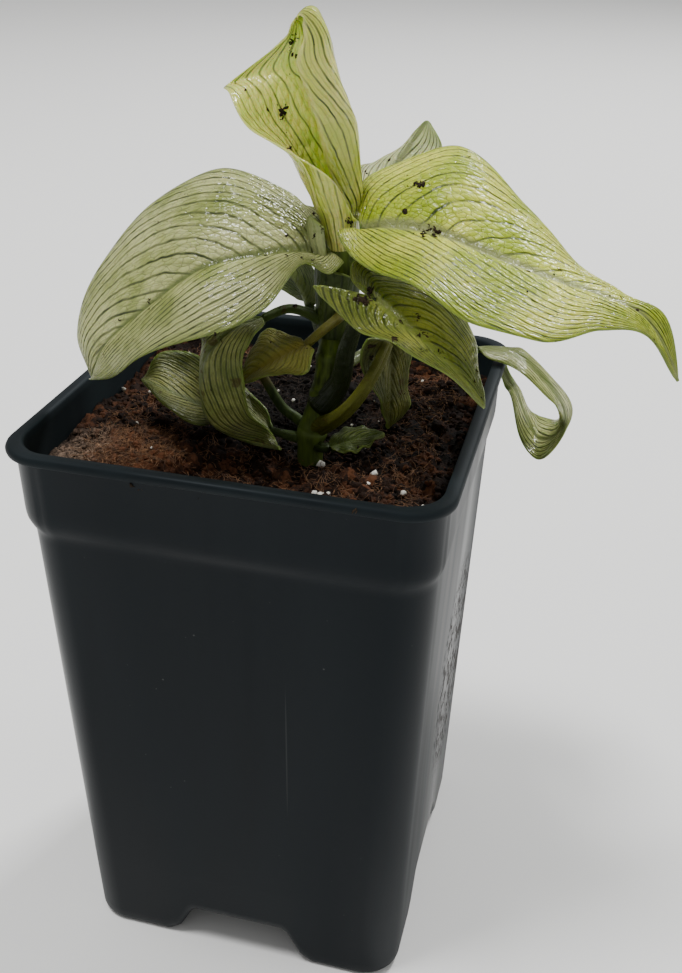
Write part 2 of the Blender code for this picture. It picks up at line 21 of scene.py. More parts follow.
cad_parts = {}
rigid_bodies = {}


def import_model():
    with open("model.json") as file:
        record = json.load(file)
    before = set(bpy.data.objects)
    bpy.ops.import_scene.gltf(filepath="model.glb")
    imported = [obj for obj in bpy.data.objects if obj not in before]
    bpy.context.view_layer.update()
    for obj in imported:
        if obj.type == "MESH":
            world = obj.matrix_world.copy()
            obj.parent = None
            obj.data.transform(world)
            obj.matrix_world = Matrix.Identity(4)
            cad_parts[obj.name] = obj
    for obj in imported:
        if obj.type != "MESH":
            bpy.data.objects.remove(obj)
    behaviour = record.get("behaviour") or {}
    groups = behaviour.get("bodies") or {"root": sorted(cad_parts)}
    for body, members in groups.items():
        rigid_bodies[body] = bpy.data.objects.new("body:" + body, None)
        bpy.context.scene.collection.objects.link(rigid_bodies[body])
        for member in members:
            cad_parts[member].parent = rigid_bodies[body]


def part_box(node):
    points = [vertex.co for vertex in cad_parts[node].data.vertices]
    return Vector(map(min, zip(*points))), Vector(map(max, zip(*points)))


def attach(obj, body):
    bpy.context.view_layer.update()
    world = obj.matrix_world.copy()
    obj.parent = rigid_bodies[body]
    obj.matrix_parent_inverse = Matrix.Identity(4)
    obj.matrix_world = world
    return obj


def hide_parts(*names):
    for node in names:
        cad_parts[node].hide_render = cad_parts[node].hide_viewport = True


LOG = logging.getLogger("potted_plant")
MM = 0.001
BODY = "root"
PHOTO_WIDTH, PHOTO_HEIGHT = 682, 973
MERGE_DISTANCE = 0.002 * MM
FIRST_VEIN = 40.0          # keeps the count of the side veins above zero
MODES = {"ShaderNodeMapRange": "interpolation_type", "ShaderNodeMix": "data_type",
         "ShaderNodeTexVoronoi": "feature", "FunctionNodeRandomValue": "data_type"}


def linear(colour: str) -> tuple[float, float, float, float]:
    """Turn an sRGB hex colour into linear RGBA.

    Args:
        colour: Six hex digits after a hash sign.

    Returns:
        The linear colour with an alpha of one.
    """
    shares = [int(colour[k:k + 2], 16) / 255 for k in (1, 3, 5)]
    return (*[s / 12.92 if s <= 0.04045 else ((s + 0.055) / 1.055) ** 2.4 for s in shares], 1.0)


def unit(vectors: np.ndarray) -> np.ndarray:
    """Scale the last axis of an array of vectors to length one."""
    return vectors / np.maximum(np.linalg.norm(vectors, axis=-1, keepdims=True), 1e-9)


def catmull_rom(points: tuple, places: np.ndarray) -> np.ndarray:
    """Follow the smooth curve through a list of points.

    Args:
        points: The points, as rows of numbers, or single numbers.
        places: Places along the curve, counted in points.

    Returns:
        One row, or one number, for each place.
    """
    values = np.asarray(points, dtype=float)
    padded = np.concatenate([2 * values[:1] - values[1:2], values, 2 * values[-1:] - values[-2:-1]])
    start = np.minimum(places.astype(int), len(padded) - 4)
    f = (places - start).reshape(-1, *[1] * (values.ndim - 1))
    p0, p1, p2, p3 = (padded[start + k] for k in range(4))
    return 0.5 * (2 * p1 + (p2 - p0) * f + (2 * p0 - 5 * p1 + 4 * p2 - p3) * f ** 2
                  + (3 * p1 - p0 - 3 * p2 + p3) * f ** 3)


def bell(distance: np.ndarray, width: float) -> np.ndarray:
    """Fall smoothly from 1 at no distance to nearly 0 past twice the width."""
    return np.exp(-(distance / width) ** 2)


def smooth_step(low: float, high: float, values: np.ndarray) -> np.ndarray:
    """Rise smoothly from 0 at low to 1 at high."""
    share = np.clip((values - low) / (high - low), 0.0, 1.0)
    return share * share * (3 - 2 * share)


def pace_of(values: np.ndarray, grid: np.ndarray) -> np.ndarray:
    """Find how fast a value changes over a surface.

    Args:
        values: The value at each point of the grid.
        grid: The points of the surface, in rows.

    Returns:
        The greatest change for each mm, at each point.
    """
    down, across = np.gradient(grid, axis=0), np.gradient(grid, axis=1)
    e, f, g = (np.sum(a * b, axis=-1) for a, b in ((down, down), (down, across), (across, across)))
    rise, turn = np.gradient(values, axis=0), np.gradient(values, axis=1)
    area = np.maximum(e * g - f * f, 1e-9)
    change = np.maximum(g * rise ** 2 - 2 * f * rise * turn + e * turn ** 2, 0.0)
    return np.clip(np.sqrt(change / area), 0.05, 4.0)


@dataclass
class Graph:
    """A node tree under construction."""
    tree: bpy.types.NodeTree

    def add(self, kind: str, *values: object, output: int | str = 0, inputs: dict | None = None,
            **named: object) -> bpy.types.NodeSocket:
        """Add a node with its settings, values and links.

        Args:
            kind: The node's type, a shader node's without its prefix; a colon leads in its mode.
            values: Values or sockets for the first inputs in order.
            output: The output wanted, by number or name.
            inputs: More values or sockets, by the input's number or name.
            named: Inputs, where the name starts with a capital, and otherwise the node's own properties.

        Returns:
            The wanted output socket.
        """
        kind, _, mode = kind.partition(":")
        kind = kind if "Node" in kind else "ShaderNode" + kind
        node = self.tree.nodes.new(kind)
        if mode:
            setattr(node, MODES.get(kind, "operation"), mode)
        wanted = dict(enumerate(values)) | (inputs or {})
        for name, value in named.items():
            if name[0].isupper():
                wanted[name] = value
            else:
                setattr(node, name, value)
        for key, value in wanted.items():
            if isinstance(value, bpy.types.NodeSocket):
                self.tree.links.new(value, node.inputs[key])
            else:
                node.inputs[key].default_value = value
        return node.outputs[output] if node.outputs else None

    def paint(self, ground: str, *coats: tuple) -> bpy.types.NodeSocket:
        """Lay colours over one another.

        Args:
            ground: The colour below.
            coats: The share that each coat covers, and its colour.

        Returns:
            The colour that shows.
        """
        colour = linear(ground)
        for share, coat in coats:
            colour = self.add("Mix:RGBA", inputs={0: share, 6: colour, 7: linear(coat)}, output=2)
        return colour

    def around(self, place: bpy.types.NodeSocket, yard: Yard, centre: tuple, near: float, far: float,
               most: float = 1.0) -> bpy.types.NodeSocket:
        """Fade from the most inside one distance of a centre to 0 at another.

        Args:
            place: The place on the surface.
            yard: The frame, which gives the pot's axis.
            centre: The centre in millimetres from that axis.
            near: Where the fade starts, in millimetres.
            far: Where it ends.
            most: The share inside.

        Returns:
            The share at each place.
        """
        distance = self.add("VectorMath:DISTANCE", place, tuple(yard.world(centre)), output=1)
        return self.add("MapRange", distance, near * MM, far * MM, most, 0.0)


@dataclass(frozen=True)
class Finish:
    """A node material; each kind of finish lays out its own skin."""
    name: str

    def skin(self, g: Graph, place: bpy.types.NodeSocket, yard: Yard) -> dict[str, object]:
        """Lay out the nodes of the surface; every kind of finish does this in its own way.

        Args:
            g: The material's graph.
            place: The place on the surface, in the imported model's frame.
            yard: The frame, which gives the pot's axis.

        Returns:
            The shader's inputs by name.
        """
        raise NotImplementedError

    def build(self, yard: Yard) -> bpy.types.Material:
        """Make the node material.

        Args:
            yard: The frame, which gives the pot's axis.

        Returns:
            The finished material.
        """
        material = bpy.data.materials.new(self.name)
        material.use_nodes = True
        material.node_tree.nodes.clear()
        g = Graph(material.node_tree)
        place = g.add("TexCoord", output="Object")
        g.add("OutputMaterial", g.add("BsdfPrincipled", inputs=self.skin(g, place, yard)))
        return material


class Layer(Enum):
    """Values at the points of a mesh, which nearly all serve a finish."""
    VEIN = "vein"          # counts the side veins; whole numbers lie on a vein
    PACE = "pace"          # how fast that count rises, for each mm across the veins
    LADDER = "ladder"      # counts the small rungs between the veins
    RIB = "rib"            # distance from the midrib in mm
    EDGE = "edge"          # distance from the margin in mm
    ALONG = "along"        # share of the blade's length from base to tip; it shapes the mesh alone
    STALK = "stalk"        # 1 on the stalk
    FACE = "face"          # 1 on the upper face
    SCAR = "scar"          # 1 where a cane is pale with age, as at its scars


@dataclass(frozen=True)
class LeafFinish(Finish):
    """Living leaf tissue under a waxy cuticle: half gloss, thin enough to glow, with darker veins."""
    pale: str
    green: str
    vein: str
    rib: str
    stalk: str
    vein_depth: float = 0.9
    net_depth: float = 0.5
    green_share: float = 0.45
    spots: float = 0.0
    roughness: float = 0.4
    glint: float = 0.5
    quilt: float = 1.0         # depth of the small domes
    under: float = 0.55        # strength of the veins on the lower face
    glow: float = 0.25         # share of the light that wanders through the blade
    line: float = 0.42         # half width of a side vein in mm
    hem: str = "#76863c"       # colour of the thin margin
    blight: str = "#4a3416"
    soil: str = "#2b2317"

    def skin(self, g: Graph, place: bpy.types.NodeSocket, yard: Yard) -> dict[str, object]:
        """Lay veins, net and clouds of green over milky tissue, under a crinkled coat.

        Args:
            g: The material's graph.
            place: The place on the surface.
            yard: The frame, which a leaf doesn't need.

        Returns:
            The shader's inputs by name.
        """
        layer = {key: g.add("Attribute", attribute_name=key.value, output="Fac") for key in Layer
                 if key not in (Layer.ALONG, Layer.SCAR)}

        # Side veins wander a little; the wander's patches are about 7 mm across.
        wander = g.add("TexNoise", place, Scale=140.0, Detail=2.0)
        phase = g.add("Math:ADD", layer[Layer.VEIN], g.add("MapRange", wander, 0.0, 1.0, -0.3, 0.3))
        fade = g.add("TexNoise", place, Scale=260.0, Detail=1.0)
        strength = g.add("MapRange", fade, 0.3, 0.7, 0.6, 1.0)
        main = self._lines(g, phase, layer[Layer.PACE], self.line, strength)
        halo = self._lines(g, phase, layer[Layer.PACE], 1.1, 0.4)
        fine = self._lines(g, g.add("Math:ADD", phase, 0.5), layer[Layer.PACE], 0.25, 0.28, 0.13)

        # The net of small veins: cells about 1.5 by 2.5 mm, stretched along the side veins.
        cell = g.add("CombineXYZ", g.add("Math:MULTIPLY", phase, 3.0), layer[Layer.LADDER], 0.0)
        edge, dome = (g.add(f"TexVoronoi:{feature}", cell, Scale=1.0, Randomness=0.85,
                            voronoi_dimensions="2D") for feature in ("DISTANCE_TO_EDGE", "F1"))
        net = g.add("MapRange:SMOOTHSTEP", edge, 0.0, 0.065, self.net_depth, 0.0)
        lines = g.add("Math:MAXIMUM", g.add("Math:MAXIMUM", main, fine), net)
        lines = g.add("Math:MULTIPLY", lines, g.add("MapRange", layer[Layer.FACE], 0.0, 1.0, self.under, 1.0))

        # Milky tissue between greener clouds, greener again towards the margin and beside the veins.
        cloud = g.add("TexNoise", place, Scale=75.0, Detail=4.0, Roughness=0.6)
        low = 0.62 - 0.3 * self.green_share
        greener = g.add("MapRange:SMOOTHSTEP", cloud, low - 0.12, low + 0.22, 0.0, 1.0)
        brim = g.add("MapRange:SMOOTHSTEP", layer[Layer.EDGE], 0.0, 5.0, 0.8, 0.0)
        greener = g.add("Math:MAXIMUM", g.add("Math:MAXIMUM", greener, brim), halo)
        veins = g.add("Math:MULTIPLY", lines, self.vein_depth)
        midrib = g.add("MapRange:SMOOTHSTEP", layer[Layer.RIB], 0.9, 2.3, 0.9, 0.0)
        margin = g.add("MapRange", layer[Layer.EDGE], 0.15, 0.6, 0.7, 0.0)
        # Brown spots of ageing tissue, 1 to 3 mm wide, and flecks of soil of about 0.4 mm.
        spots = g.add("TexNoise", place, Scale=300.0, Detail=3.0)
        spots = g.add("MapRange", spots, 0.66, 0.7, 0.0, self.spots)
        fleck = g.add("MapRange", g.add("TexVoronoi", place, Scale=300.0), 0.06, 0.09, 1.0, 0.0)
        fleck = g.add("Math:MULTIPLY", fleck, g.add("MapRange", fade, 0.6, 0.64, 0.0, 0.8))
        colour = g.paint(self.pale, (greener, self.green), (veins, self.vein), (midrib, self.rib),
                         (margin, self.hem), (layer[Layer.STALK], self.stalk), (spots, self.blight),
                         (fleck, self.soil))

        # Each cell of the net is a small dome, crinkled at 1.5 mm, and breaks the shine into its own glint.
        crinkle = g.add("TexNoise", place, Scale=650.0, Detail=3.0, Roughness=0.55)
        calm = g.add("MapRange", layer[Layer.RIB], 1.0, 3.2, 0.0, 1.0)
        calm = g.add("Math:SUBTRACT", calm, layer[Layer.STALK], use_clamp=True)
        domed = g.add("Math:MULTIPLY", g.add("Math:MULTIPLY", dome, dome), calm)
        domed = g.add("Math:MULTIPLY_ADD", domed, -0.9 * self.quilt, g.add("Math:MULTIPLY", crinkle, 1.1))
        sunk = g.add("Math:MULTIPLY_ADD", lines, -0.3, domed)
        relief, shine = (g.add("Bump", Strength=depth, Distance=0.55 * MM, Height=sunk)
                         for depth in (0.9, 0.5))
        dull = g.add("MapRange", cloud, 0.3, 0.7, self.roughness - 0.06, self.roughness + 0.14)
        return {"Base Color": colour, "Roughness": dull, "Normal": relief, "IOR": 1.45,
                "Subsurface Weight": self.glow, "Subsurface Radius": (0.9, 1.4, 0.35), "Subsurface Scale": MM,
                "Specular IOR Level": 0.3, "Coat Weight": self.glint, "Coat Roughness": 0.11,
                "Coat Normal": shine, "Coat Tint": linear("#f4f6c8")}

    @staticmethod
    def _lines(g: Graph, phase: bpy.types.NodeSocket, pace: bpy.types.NodeSocket, width: float,
               depth: object, most: float = 0.25) -> bpy.types.NodeSocket:
        """Draw a soft line at each whole number of the phase, thinner where the lines crowd.

        Args:
            g: The material's graph.
            phase: Counts the lines.
            pace: How fast the phase rises, for each mm.
            width: From the line's middle to its faded edge, in mm.
            depth: Its strength.
            most: The greatest width, as a share of the spacing.

        Returns:
            The strength at each place.
        """
        near = g.add("Math:PINGPONG", phase, 1.0)
        near = g.add("Math:MINIMUM", near, g.add("Math:SUBTRACT", 1.0, near))
        reach = g.add("Math:MINIMUM", g.add("Math:MULTIPLY", pace, width), most)
        core = g.add("Math:MULTIPLY", reach, 0.3)
        return g.add("Math:MULTIPLY", g.add("MapRange:SMOOTHSTEP", near, core, reach, 1.0, 0.0), depth)


# Its dark midrib colour is partly the rib's own grey-green and partly painted shade along the rib's shaded
# side.
MILKY = LeafFinish("milky_leaf_cuticle", "#d4d4ae", "#8c9754", "#222e0d", "#616d3e", "#66753c",
                   vein_depth=0.97, green_share=0.4, net_depth=0.5, glint=0.8)
LIME = LeafFinish("lime_leaf_cuticle", "#eff068", "#a5b61e", "#263608", "#8f9568", "#4c5f22",
                  vein_depth=0.97, green_share=0.7, net_depth=0.55, glint=0.4, glow=0.35)
YOUNG = LeafFinish("young_leaf_cuticle", "#faf8ac", "#ccd568", "#34480e", "#a9b068", "#8c9a4c",
                   vein_depth=0.8, green_share=0.5, net_depth=0.12, glint=1.0, glow=0.7, under=1.25, line=0.3,
                   hem="#eef0b4")
SILVER = LeafFinish("silver_leaf_cuticle", "#ecedcc", "#c3c79f", "#2e361a", "#808663", "#5c6a38",
                    green_share=0.35, net_depth=0.35, glow=0.6)
# Its near-black stalk colour is painted shade, for the stalk that stands in shadow beside the stem.
FRONT = LeafFinish("deep_lime_leaf_cuticle", "#a8a952", "#687426", "#1e2909", "#7d8744", "#131f08",
                   green_share=0.8, net_depth=0.45, under=0.9)
DEEP = LeafFinish("deep_green_leaf_cuticle", "#68752a", "#3d4d12", "#16220a", "#46551c", "#2c3b0e",
                  green_share=0.8, glint=0.1, glow=0.1)
SHADED = LeafFinish("shaded_leaf_cuticle", "#97a05c", "#5d7032", "#27351a", "#6a783e", "#3f5122",
                    green_share=0.7, net_depth=0.2, glint=0.2, under=1.0)
SHEATH = LeafFinish("leaf_sheath_skin", "#a3a878", "#84905a", "#5a683a", "#737f50", "#6a7846",
                    vein_depth=0.35, green_share=0.5, net_depth=0.0, glint=0.2, quilt=0.1)
# Near-black green, partly the sheaths' own deep green and partly painted shade in the hollow under the crown.
SHADE_DARKENED_SHEATH = LeafFinish("sheath_skin_with_painted_shade", "#3f4e14", "#2b390c", "#0f1a08", "#2e3e0c", "#22310a",
                         vein_depth=0.6, green_share=0.6, net_depth=0.0, roughness=0.5, glint=0.0, quilt=0.1,
                         glow=0.1)
FADED = LeafFinish("ageing_leaf_cuticle", "#a09b4a", "#74762c", "#3a3711", "#8a8035", "#5a5714",
                   vein_depth=0.4, green_share=0.5, net_depth=0.3, spots=0.85, roughness=0.5, glint=0.1)
OLIVE = LeafFinish("hanging_leaf_cuticle", "#737230", "#494f1e", "#24290c", "#454819", "#52540f",
                   vein_depth=0.55, green_share=0.6, spots=0.5, roughness=0.5, glint=0.05)
LOW = LeafFinish("low_leaf_cuticle", "#aeb06a", "#6a7533", "#28350f", "#6a7545", "#485a26",
                 vein_depth=0.9, green_share=0.55, net_depth=0.35, spots=0.6, glint=0.1, under=0.9)

STEM_PATH = ((11.4, -14.0, 126.0), (11.5, -14.0, 143.0), (12.2, -14.0, 150.0), (14.4, -12.6, 158.0),
             (15.0, -10.8, 165.0), (15.6, -8.8, 173.0), (16.2, -6.8, 181.0), (16.5, -5.4, 189.0),
             (15.8, -5.4, 195.0))
STEM_RADIUS = (2.7, 3.1, 3.2, 3.2, 3.0, 3.1, 3.9, 4.0, 3.5)
SHADED_SOIL_CENTRE = (2.0, 12.0, 143.0)     # of the painted shade on the soil round the foot of the stem
BASE_ROUNDING = 0.045      # share of a blade's length over which its base is rounded
TIP_ROUNDING = 0.02        # the same for its tip
FAR_OFF = 9.0              # mm from the midrib or margin at which neither shows
END_ROWS = 6               # rows of points that round each end of a tube
FULL_TURN = 6.3            # radians


@dataclass(frozen=True)
class Leaf:
    """One leaf: rails for its midrib and margins, its stalk, and the way it is veined."""
    name: str
    slot: str
    finish: LeafFinish
    seat: float            # height on the stem where the stalk starts
    stalk: tuple
    rib: tuple
    right: tuple           # reach of the right half blade from each rib point, seen from stalk to tip
    left: tuple
    radius: tuple          # of the stalk at the stem and at the blade
    arch: tuple            # rise of each half blade above its chord, one value or one for each rib point
    veins: int = 16
    sweep: tuple = (0.55, 0.55)    # how far the veins of each half run forward, in blade lengths
    ruffle: float = 0.5
    rows: int = 70
    columns: int = 14

    THICKNESS = 0.5
    RUNG = 1.6             # spacing of the small rungs
    QUILT = 0.14           # depth of the furrow over each side vein
    GUTTER = 0.35          # depth of the channel over the midrib
    STALK_STEPS = 9        # rows between two points of the stalk
    CROWDED = 6            # first rows, too close together to give their own direction

    def _shares(self) -> np.ndarray:
        """Choose the rows along the blade, crowded where its base is rounded."""
        base = BASE_ROUNDING * (np.arange(1, 9) / 8) ** 2
        return np.unique(np.concatenate([base, np.linspace(BASE_ROUNDING, 1.0, self.rows)]))

    def _blade(self) -> tuple[np.ndarray, dict[Layer, np.ndarray], np.ndarray]:
        """Lay out the middle surface of the blade.

        Returns:
            The points in rows across the blade, the layers at each of them, and the midrib's direction.
        """
        share = self._shares()
        down = share[:, None]
        places = share * (len(self.rib) - 1)
        rib = catmull_rom(self.rib, places)
        rounding = np.sqrt(1.0 - (1.0 - np.clip(share / BASE_ROUNDING, 0.0, 1.0)) ** 2)
        rounding *= np.sqrt(np.clip((1.003 - share) / TIP_ROUNDING, 0.0, 1.0))
        along = unit(np.gradient(rib, share, axis=0))
        length = np.linalg.norm(np.diff(rib, axis=0), axis=1).sum()
        q = np.linspace(0.0, 1.0, self.columns + 1)[1:]
        waves = np.array([noise.noise(Vector((s * 7.0, len(self.name), self.seat))) for s in share])
        halves, spans = [], []
        for rail, arch, side in ((self.right, self.arch[0], 1.0), (self.left, self.arch[1], -1.0)):
            reach = catmull_rom(rail, places)
            width = np.linalg.norm(reach, axis=1)
            up = unit(np.cross(reach, along)) * side
            rise = catmull_rom(arch, places) if isinstance(arch, tuple) else arch * width / width.max()
            lift = 4 * q * (1 - q) * rise[:, None]
            lift += self.ruffle * q ** 3 * (waves[:, None] * 2.0 + np.sin(down * 23.0 + side) * 0.5)
            flat = rib[:, None] + (reach * rounding[:, None])[:, None] * q[:, None]
            halves.append(flat + up[:, None] * lift[:, :, None])
            spans.append(width * rounding)
        grid = np.concatenate([halves[0][:, ::-1], rib[:, None], halves[1]], axis=1)
        q_grid = np.tile(np.concatenate([q[::-1], [0.0], q]), (len(share), 1))
        span = np.repeat(np.stack(spans, axis=1), (self.columns, self.columns + 1), axis=1)
        sweep = np.where(np.arange(q_grid.shape[1]) < self.columns, *self.sweep)
        veins = (down - sweep * (0.45 * q_grid + 0.55 * q_grid ** 2)) * self.veins + FIRST_VEIN
        facts = {
            Layer.VEIN: veins,
            Layer.PACE: pace_of(veins, grid),
            Layer.LADDER: (q_grid * span + down * length * 0.5) / self.RUNG,
            Layer.RIB: q_grid * span * (0.6 + 0.8 * down) + 0.9 * down,
            Layer.EDGE: (1.0 - q_grid) * span,
            Layer.ALONG: np.repeat(down, grid.shape[1], axis=1),
            Layer.STALK: smooth_step(0.03, 0.0, down) * smooth_step(2.2, 0.8, q_grid * span),
        }
        return grid, facts, along

    def _faces(self) -> tuple[np.ndarray, np.ndarray, np.ndarray, dict[Layer, np.ndarray]]:
        """Give the blade its thickness, its veined relief and the midrib's keel.

        Returns:
            The upper face, the lower face, the upward direction at the base, and the layers.
        """
        grid, facts, along = self._blade()
        lengthwise = np.gradient(grid, axis=0)
        lengthwise[:self.CROWDED] = along[:self.CROWDED, None]
        up = unit(np.cross(lengthwise, np.gradient(grid, axis=1)))
        beat = np.abs(facts[Layer.VEIN] - np.round(facts[Layer.VEIN]))
        broad = smooth_step(1.0, 5.0, facts[Layer.RIB] + facts[Layer.EDGE])
        sunk = self.QUILT * bell(beat, 0.16) * broad * smooth_step(0.2, 1.5, facts[Layer.EDGE])
        gutter = self.GUTTER * bell(facts[Layer.RIB], 0.9) * (1.0 - 0.7 * facts[Layer.ALONG])
        tissue = self.THICKNESS * np.sqrt(1.0 - smooth_step(0.6, 0.0, facts[Layer.EDGE]) * 0.85)
        fade = 1.0 - facts[Layer.ALONG] ** 1.5
        keel = (2.0 * self.radius[1] - self.THICKNESS) * fade * bell(facts[Layer.RIB], self.radius[1])
        middle = grid - up * sunk[:, :, None]
        upper = middle + up * (tissue / 2 - gutter)[:, :, None]
        lower = middle - up * (tissue / 2 + keel)[:, :, None]
        return upper, lower, up[0, grid.shape[1] // 2], facts

    def _stalk(self, up: np.ndarray) -> tuple[np.ndarray, np.ndarray]:
        """Lay out the grooved stalk, swollen where it clasps the stem.

        Args:
            up: The upward direction at the blade's base.

        Returns:
            The upper half and the lower half, in rows from the stem.
        """
        knots = (tuple(Stem.centre_at(self.seat)), *self.stalk, self.rib[0])
        count = self.STALK_STEPS * (len(self.stalk) + 1) + 1
        path = catmull_rom(knots, np.linspace(0.0, len(knots) - 1, count))
        along = unit(np.gradient(path, axis=0))
        travelled = np.concatenate([[0.0], np.cumsum(np.linalg.norm(np.diff(path, axis=0), axis=1))])
        radii = np.linspace(*self.radius, count) * (1 + 0.35 * bell(travelled, 6.0))
        angles = np.radians(np.linspace(4.0, 176.0, 2 * self.columns + 1))
        groove = 1.0 - 0.22 * bell(angles - math.pi / 2, 0.5)
        rows = []
        for place, direction, radius in zip(path[::-1], along[::-1], radii[::-1]):
            up = unit(up - direction * (up @ direction))
            side = np.cross(direction, up)
            rows.append([[place + radius * (side * math.cos(a) + up * math.sin(a) * depth)
                          for a, depth in zip(angles, depths)] for depths in (groove, -np.ones_like(groove))])
        grid = np.array(rows[::-1])
        return grid[:, 0], grid[:, 1]

    def build(self, yard: Yard) -> bpy.types.Object:
        """Make the whole leaf as one closed mesh with its layers.

        Args:
            yard: The frame that the mesh is made in.

        Returns:
            The finished piece.
        """
        upper, lower, up, facts = self._faces()
        stalk_upper, stalk_lower = self._stalk(up)
        extra = len(stalk_upper) - 1
        upper = np.vstack([stalk_upper[:-1], upper])
        lower = np.vstack([stalk_lower[:-1], lower])
        for key, values in facts.items():
            lead = np.repeat(values[:1], extra, axis=0)
            facts[key] = np.vstack([np.ones_like(lead) if key is Layer.STALK else lead, values])
        piece = sheet_solid(yard, self.name + "_blade", upper, lower, facts)
        return yard.hand_over(piece, self.finish.build(yard), self.slot, self.name)


def sheet_solid(yard: Yard, name: str, upper: np.ndarray, lower: np.ndarray,
                facts: dict[Layer, np.ndarray]) -> bpy.types.Object:
    """Make one closed mesh between two grids of points, with a leaf's layers on both faces.

    Args:
        yard: The frame that the mesh is made in.
        name: The piece's name.
        upper: The upper face's points, in rows.
        lower: The lower face's points, in rows.
        facts: The layers at each point, apart from the face.

    Returns:
        The piece.
    """
    rows, columns, _ = upper.shape
    index = np.arange(rows * columns).reshape(rows, columns)
    total = index.size
    quads = quads_between(index[:, :-1], index[:, 1:])
    faces = [*quads, *(total + quads[:, ::-1])]
    for c in (0, columns - 1):
        faces += [(index[r, c], index[r + 1, c], total + index[r + 1, c], total + index[r, c])
                  for r in range(rows - 1)]
    faces += [(*index[r], *(total + index[r, ::-1])) for r in (0, rows - 1)]
    piece = yard.piece(name, np.vstack([upper.reshape(-1, 3), lower.reshape(-1, 3)]), faces)
    layers = {key: np.tile(values.ravel(), 2) for key, values in facts.items()}
    layers[Layer.FACE] = np.concatenate([np.ones(total), np.zeros(total)])
    write_layers(piece, layers)
    close_up(piece)
    return piece


def write_layers(piece: bpy.types.Object, layers: dict[Layer, np.ndarray]) -> None:
    """Write layers to a piece's points as vertex attributes."""
    for key, values in layers.items():
        attribute = piece.data.attributes.new(key.value, "FLOAT", "POINT")
        attribute.data.foreach_set("value", values.astype(np.float32))


def close_up(piece: bpy.types.Object, merge: bool = False) -> None:
    """Turn the faces of a closed mesh outwards and shade them smooth.

    Args:
        piece: The piece.
        merge: Whether points that lie together become one first.
    """
    bm = bmesh.new()
    bm.from_mesh(piece.data)
    if merge:
        bmesh.ops.remove_doubles(bm, verts=bm.verts, dist=MERGE_DISTANCE)
    bmesh.ops.recalc_face_normals(bm, faces=bm.faces)
    for face in bm.faces:
        face.smooth = True
    bm.to_mesh(piece.data)
    bm.free()


def quads_between(index: np.ndarray, beside: np.ndarray) -> np.ndarray:
    """Join rows of points by quads.

    Args:
        index: Numbers of the points, in rows.
        beside: Numbers of their neighbours along each row.

    Returns:
        The quads, one in a row.
    """
    return np.stack([index[:-1], beside[:-1], beside[1:], index[1:]], axis=-1).reshape(-1, 4)


def ring_faces(rows: int, count: int) -> list[tuple[int, ...]]:
    """Join rows of closed rings by quads.

    Args:
        rows: Number of rings.
        count: Points in each ring.

    Returns:
        The faces, as point numbers.
    """
    index = np.arange(rows * count).reshape(rows, count)
    return [tuple(quad) for quad in quads_between(index, np.roll(index, -1, axis=1)).tolist()]


def rounded_tube(yard: Yard, name: str, path: np.ndarray, radii: np.ndarray,
                 sides: int) -> tuple[bpy.types.Object, np.ndarray]:
    """Make a closed tube with rounded ends.

    Args:
        yard: The frame that the mesh is made in.
        name: The piece's name.
        path: Points of the centre line.
        radii: The radius at each point.
        sides: Points round the tube.

    Returns:
        The piece, and the height of each of its points in millimetres.
    """
    turns = np.linspace(0.05, math.pi / 2, END_ROWS)
    ends, lead = np.sin(turns), np.cos(turns)
    along = unit(np.gradient(path, axis=0))
    first = path[0] - along[0] * (radii[0] * lead)[:, None]
    last = path[-1] + along[-1] * (radii[-1] * lead[::-1])[:, None]
    places = np.vstack([first, path[1:-1], last])
    widths = np.concatenate([radii[0] * ends, radii[1:-1], radii[-1] * ends[::-1]])
    ways = np.vstack([along[:1].repeat(END_ROWS, axis=0), along[1:-1], along[-1:].repeat(END_ROWS, axis=0)])
    up = np.array([0.0, 0.0, 1.0]) if abs(ways[0][2]) < 0.8 else np.array([1.0, 0.0, 0.0])
    angles = np.linspace(0.0, 2 * math.pi, sides, endpoint=False)
    rows = []
    for place, way, width in zip(places, ways, widths):
        up = unit(up - way * (up @ way))
        side = np.cross(way, up)
        rows.append(place + width * (np.cos(angles)[:, None] * side + np.sin(angles)[:, None] * up))
    points = np.vstack(rows)
    faces = ring_faces(len(rows), sides) + [range(sides), range(len(points) - sides, len(points))]
    piece = yard.piece(name, points, faces)
    close_up(piece)
    return piece, points[:, 2]


@dataclass
class Yard:
    """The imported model's frame, in which every mesh is made."""
    offset: Vector             # place of the pot's axis on the ground, in metres
    faces_made: int = 0        # triangles in all the pieces so far

    @classmethod
    def load(cls) -> Yard:
        """Load the frame and find the pot's axis in it."""
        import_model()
        low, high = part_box("pot")
        return cls(Vector(((low[0] + high[0]) / 2, (low[1] + high[1]) / 2, low[2])))

    def world(self, place: tuple) -> Vector:
        """Turn millimetres from the pot's axis into a place in the frame."""
        return Vector(place) * MM + self.offset

    def piece(self, name: str, points: np.ndarray, faces: list) -> bpy.types.Object:
        """Make an object from points in millimetres from the pot's axis.

        Args:
            name: The piece's name.
            points: Its points.
            faces: Its faces, as point numbers.

        Returns:
            The object.
        """
        mesh = bpy.data.meshes.new(name)
        places = np.asarray(points) * MM + np.array(self.offset)
        mesh.from_pydata(places.tolist(), [], [tuple(int(k) for k in face) for face in faces])
        mesh.validate()
        result = bpy.data.objects.new(name, mesh)
        bpy.context.scene.collection.objects.link(result)
        return result

    def hand_over(self, piece: bpy.types.Object, material: bpy.types.Material | None, slot: str,
                  *nodes: str) -> bpy.types.Object:
        """Give a piece its material and body, and hide the nodes that it stands for.

        Args:
            piece: The finished piece.
            material: Its material, or None where it has one.
            slot: The record's slot; not used.
            nodes: The CAD nodes that it replaces.

        Returns:
            The piece.
        """
        if material is not None:
            piece.data.materials.clear()
            piece.data.materials.append(material)
        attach(piece, BODY)
        if nodes:
            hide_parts(*nodes)
        triangles = sum(len(face.vertices) - 2 for face in piece.data.polygons)
        self.faces_made += triangles
        LOG.info("%s: %d triangles", piece.name, triangles)
        return piece


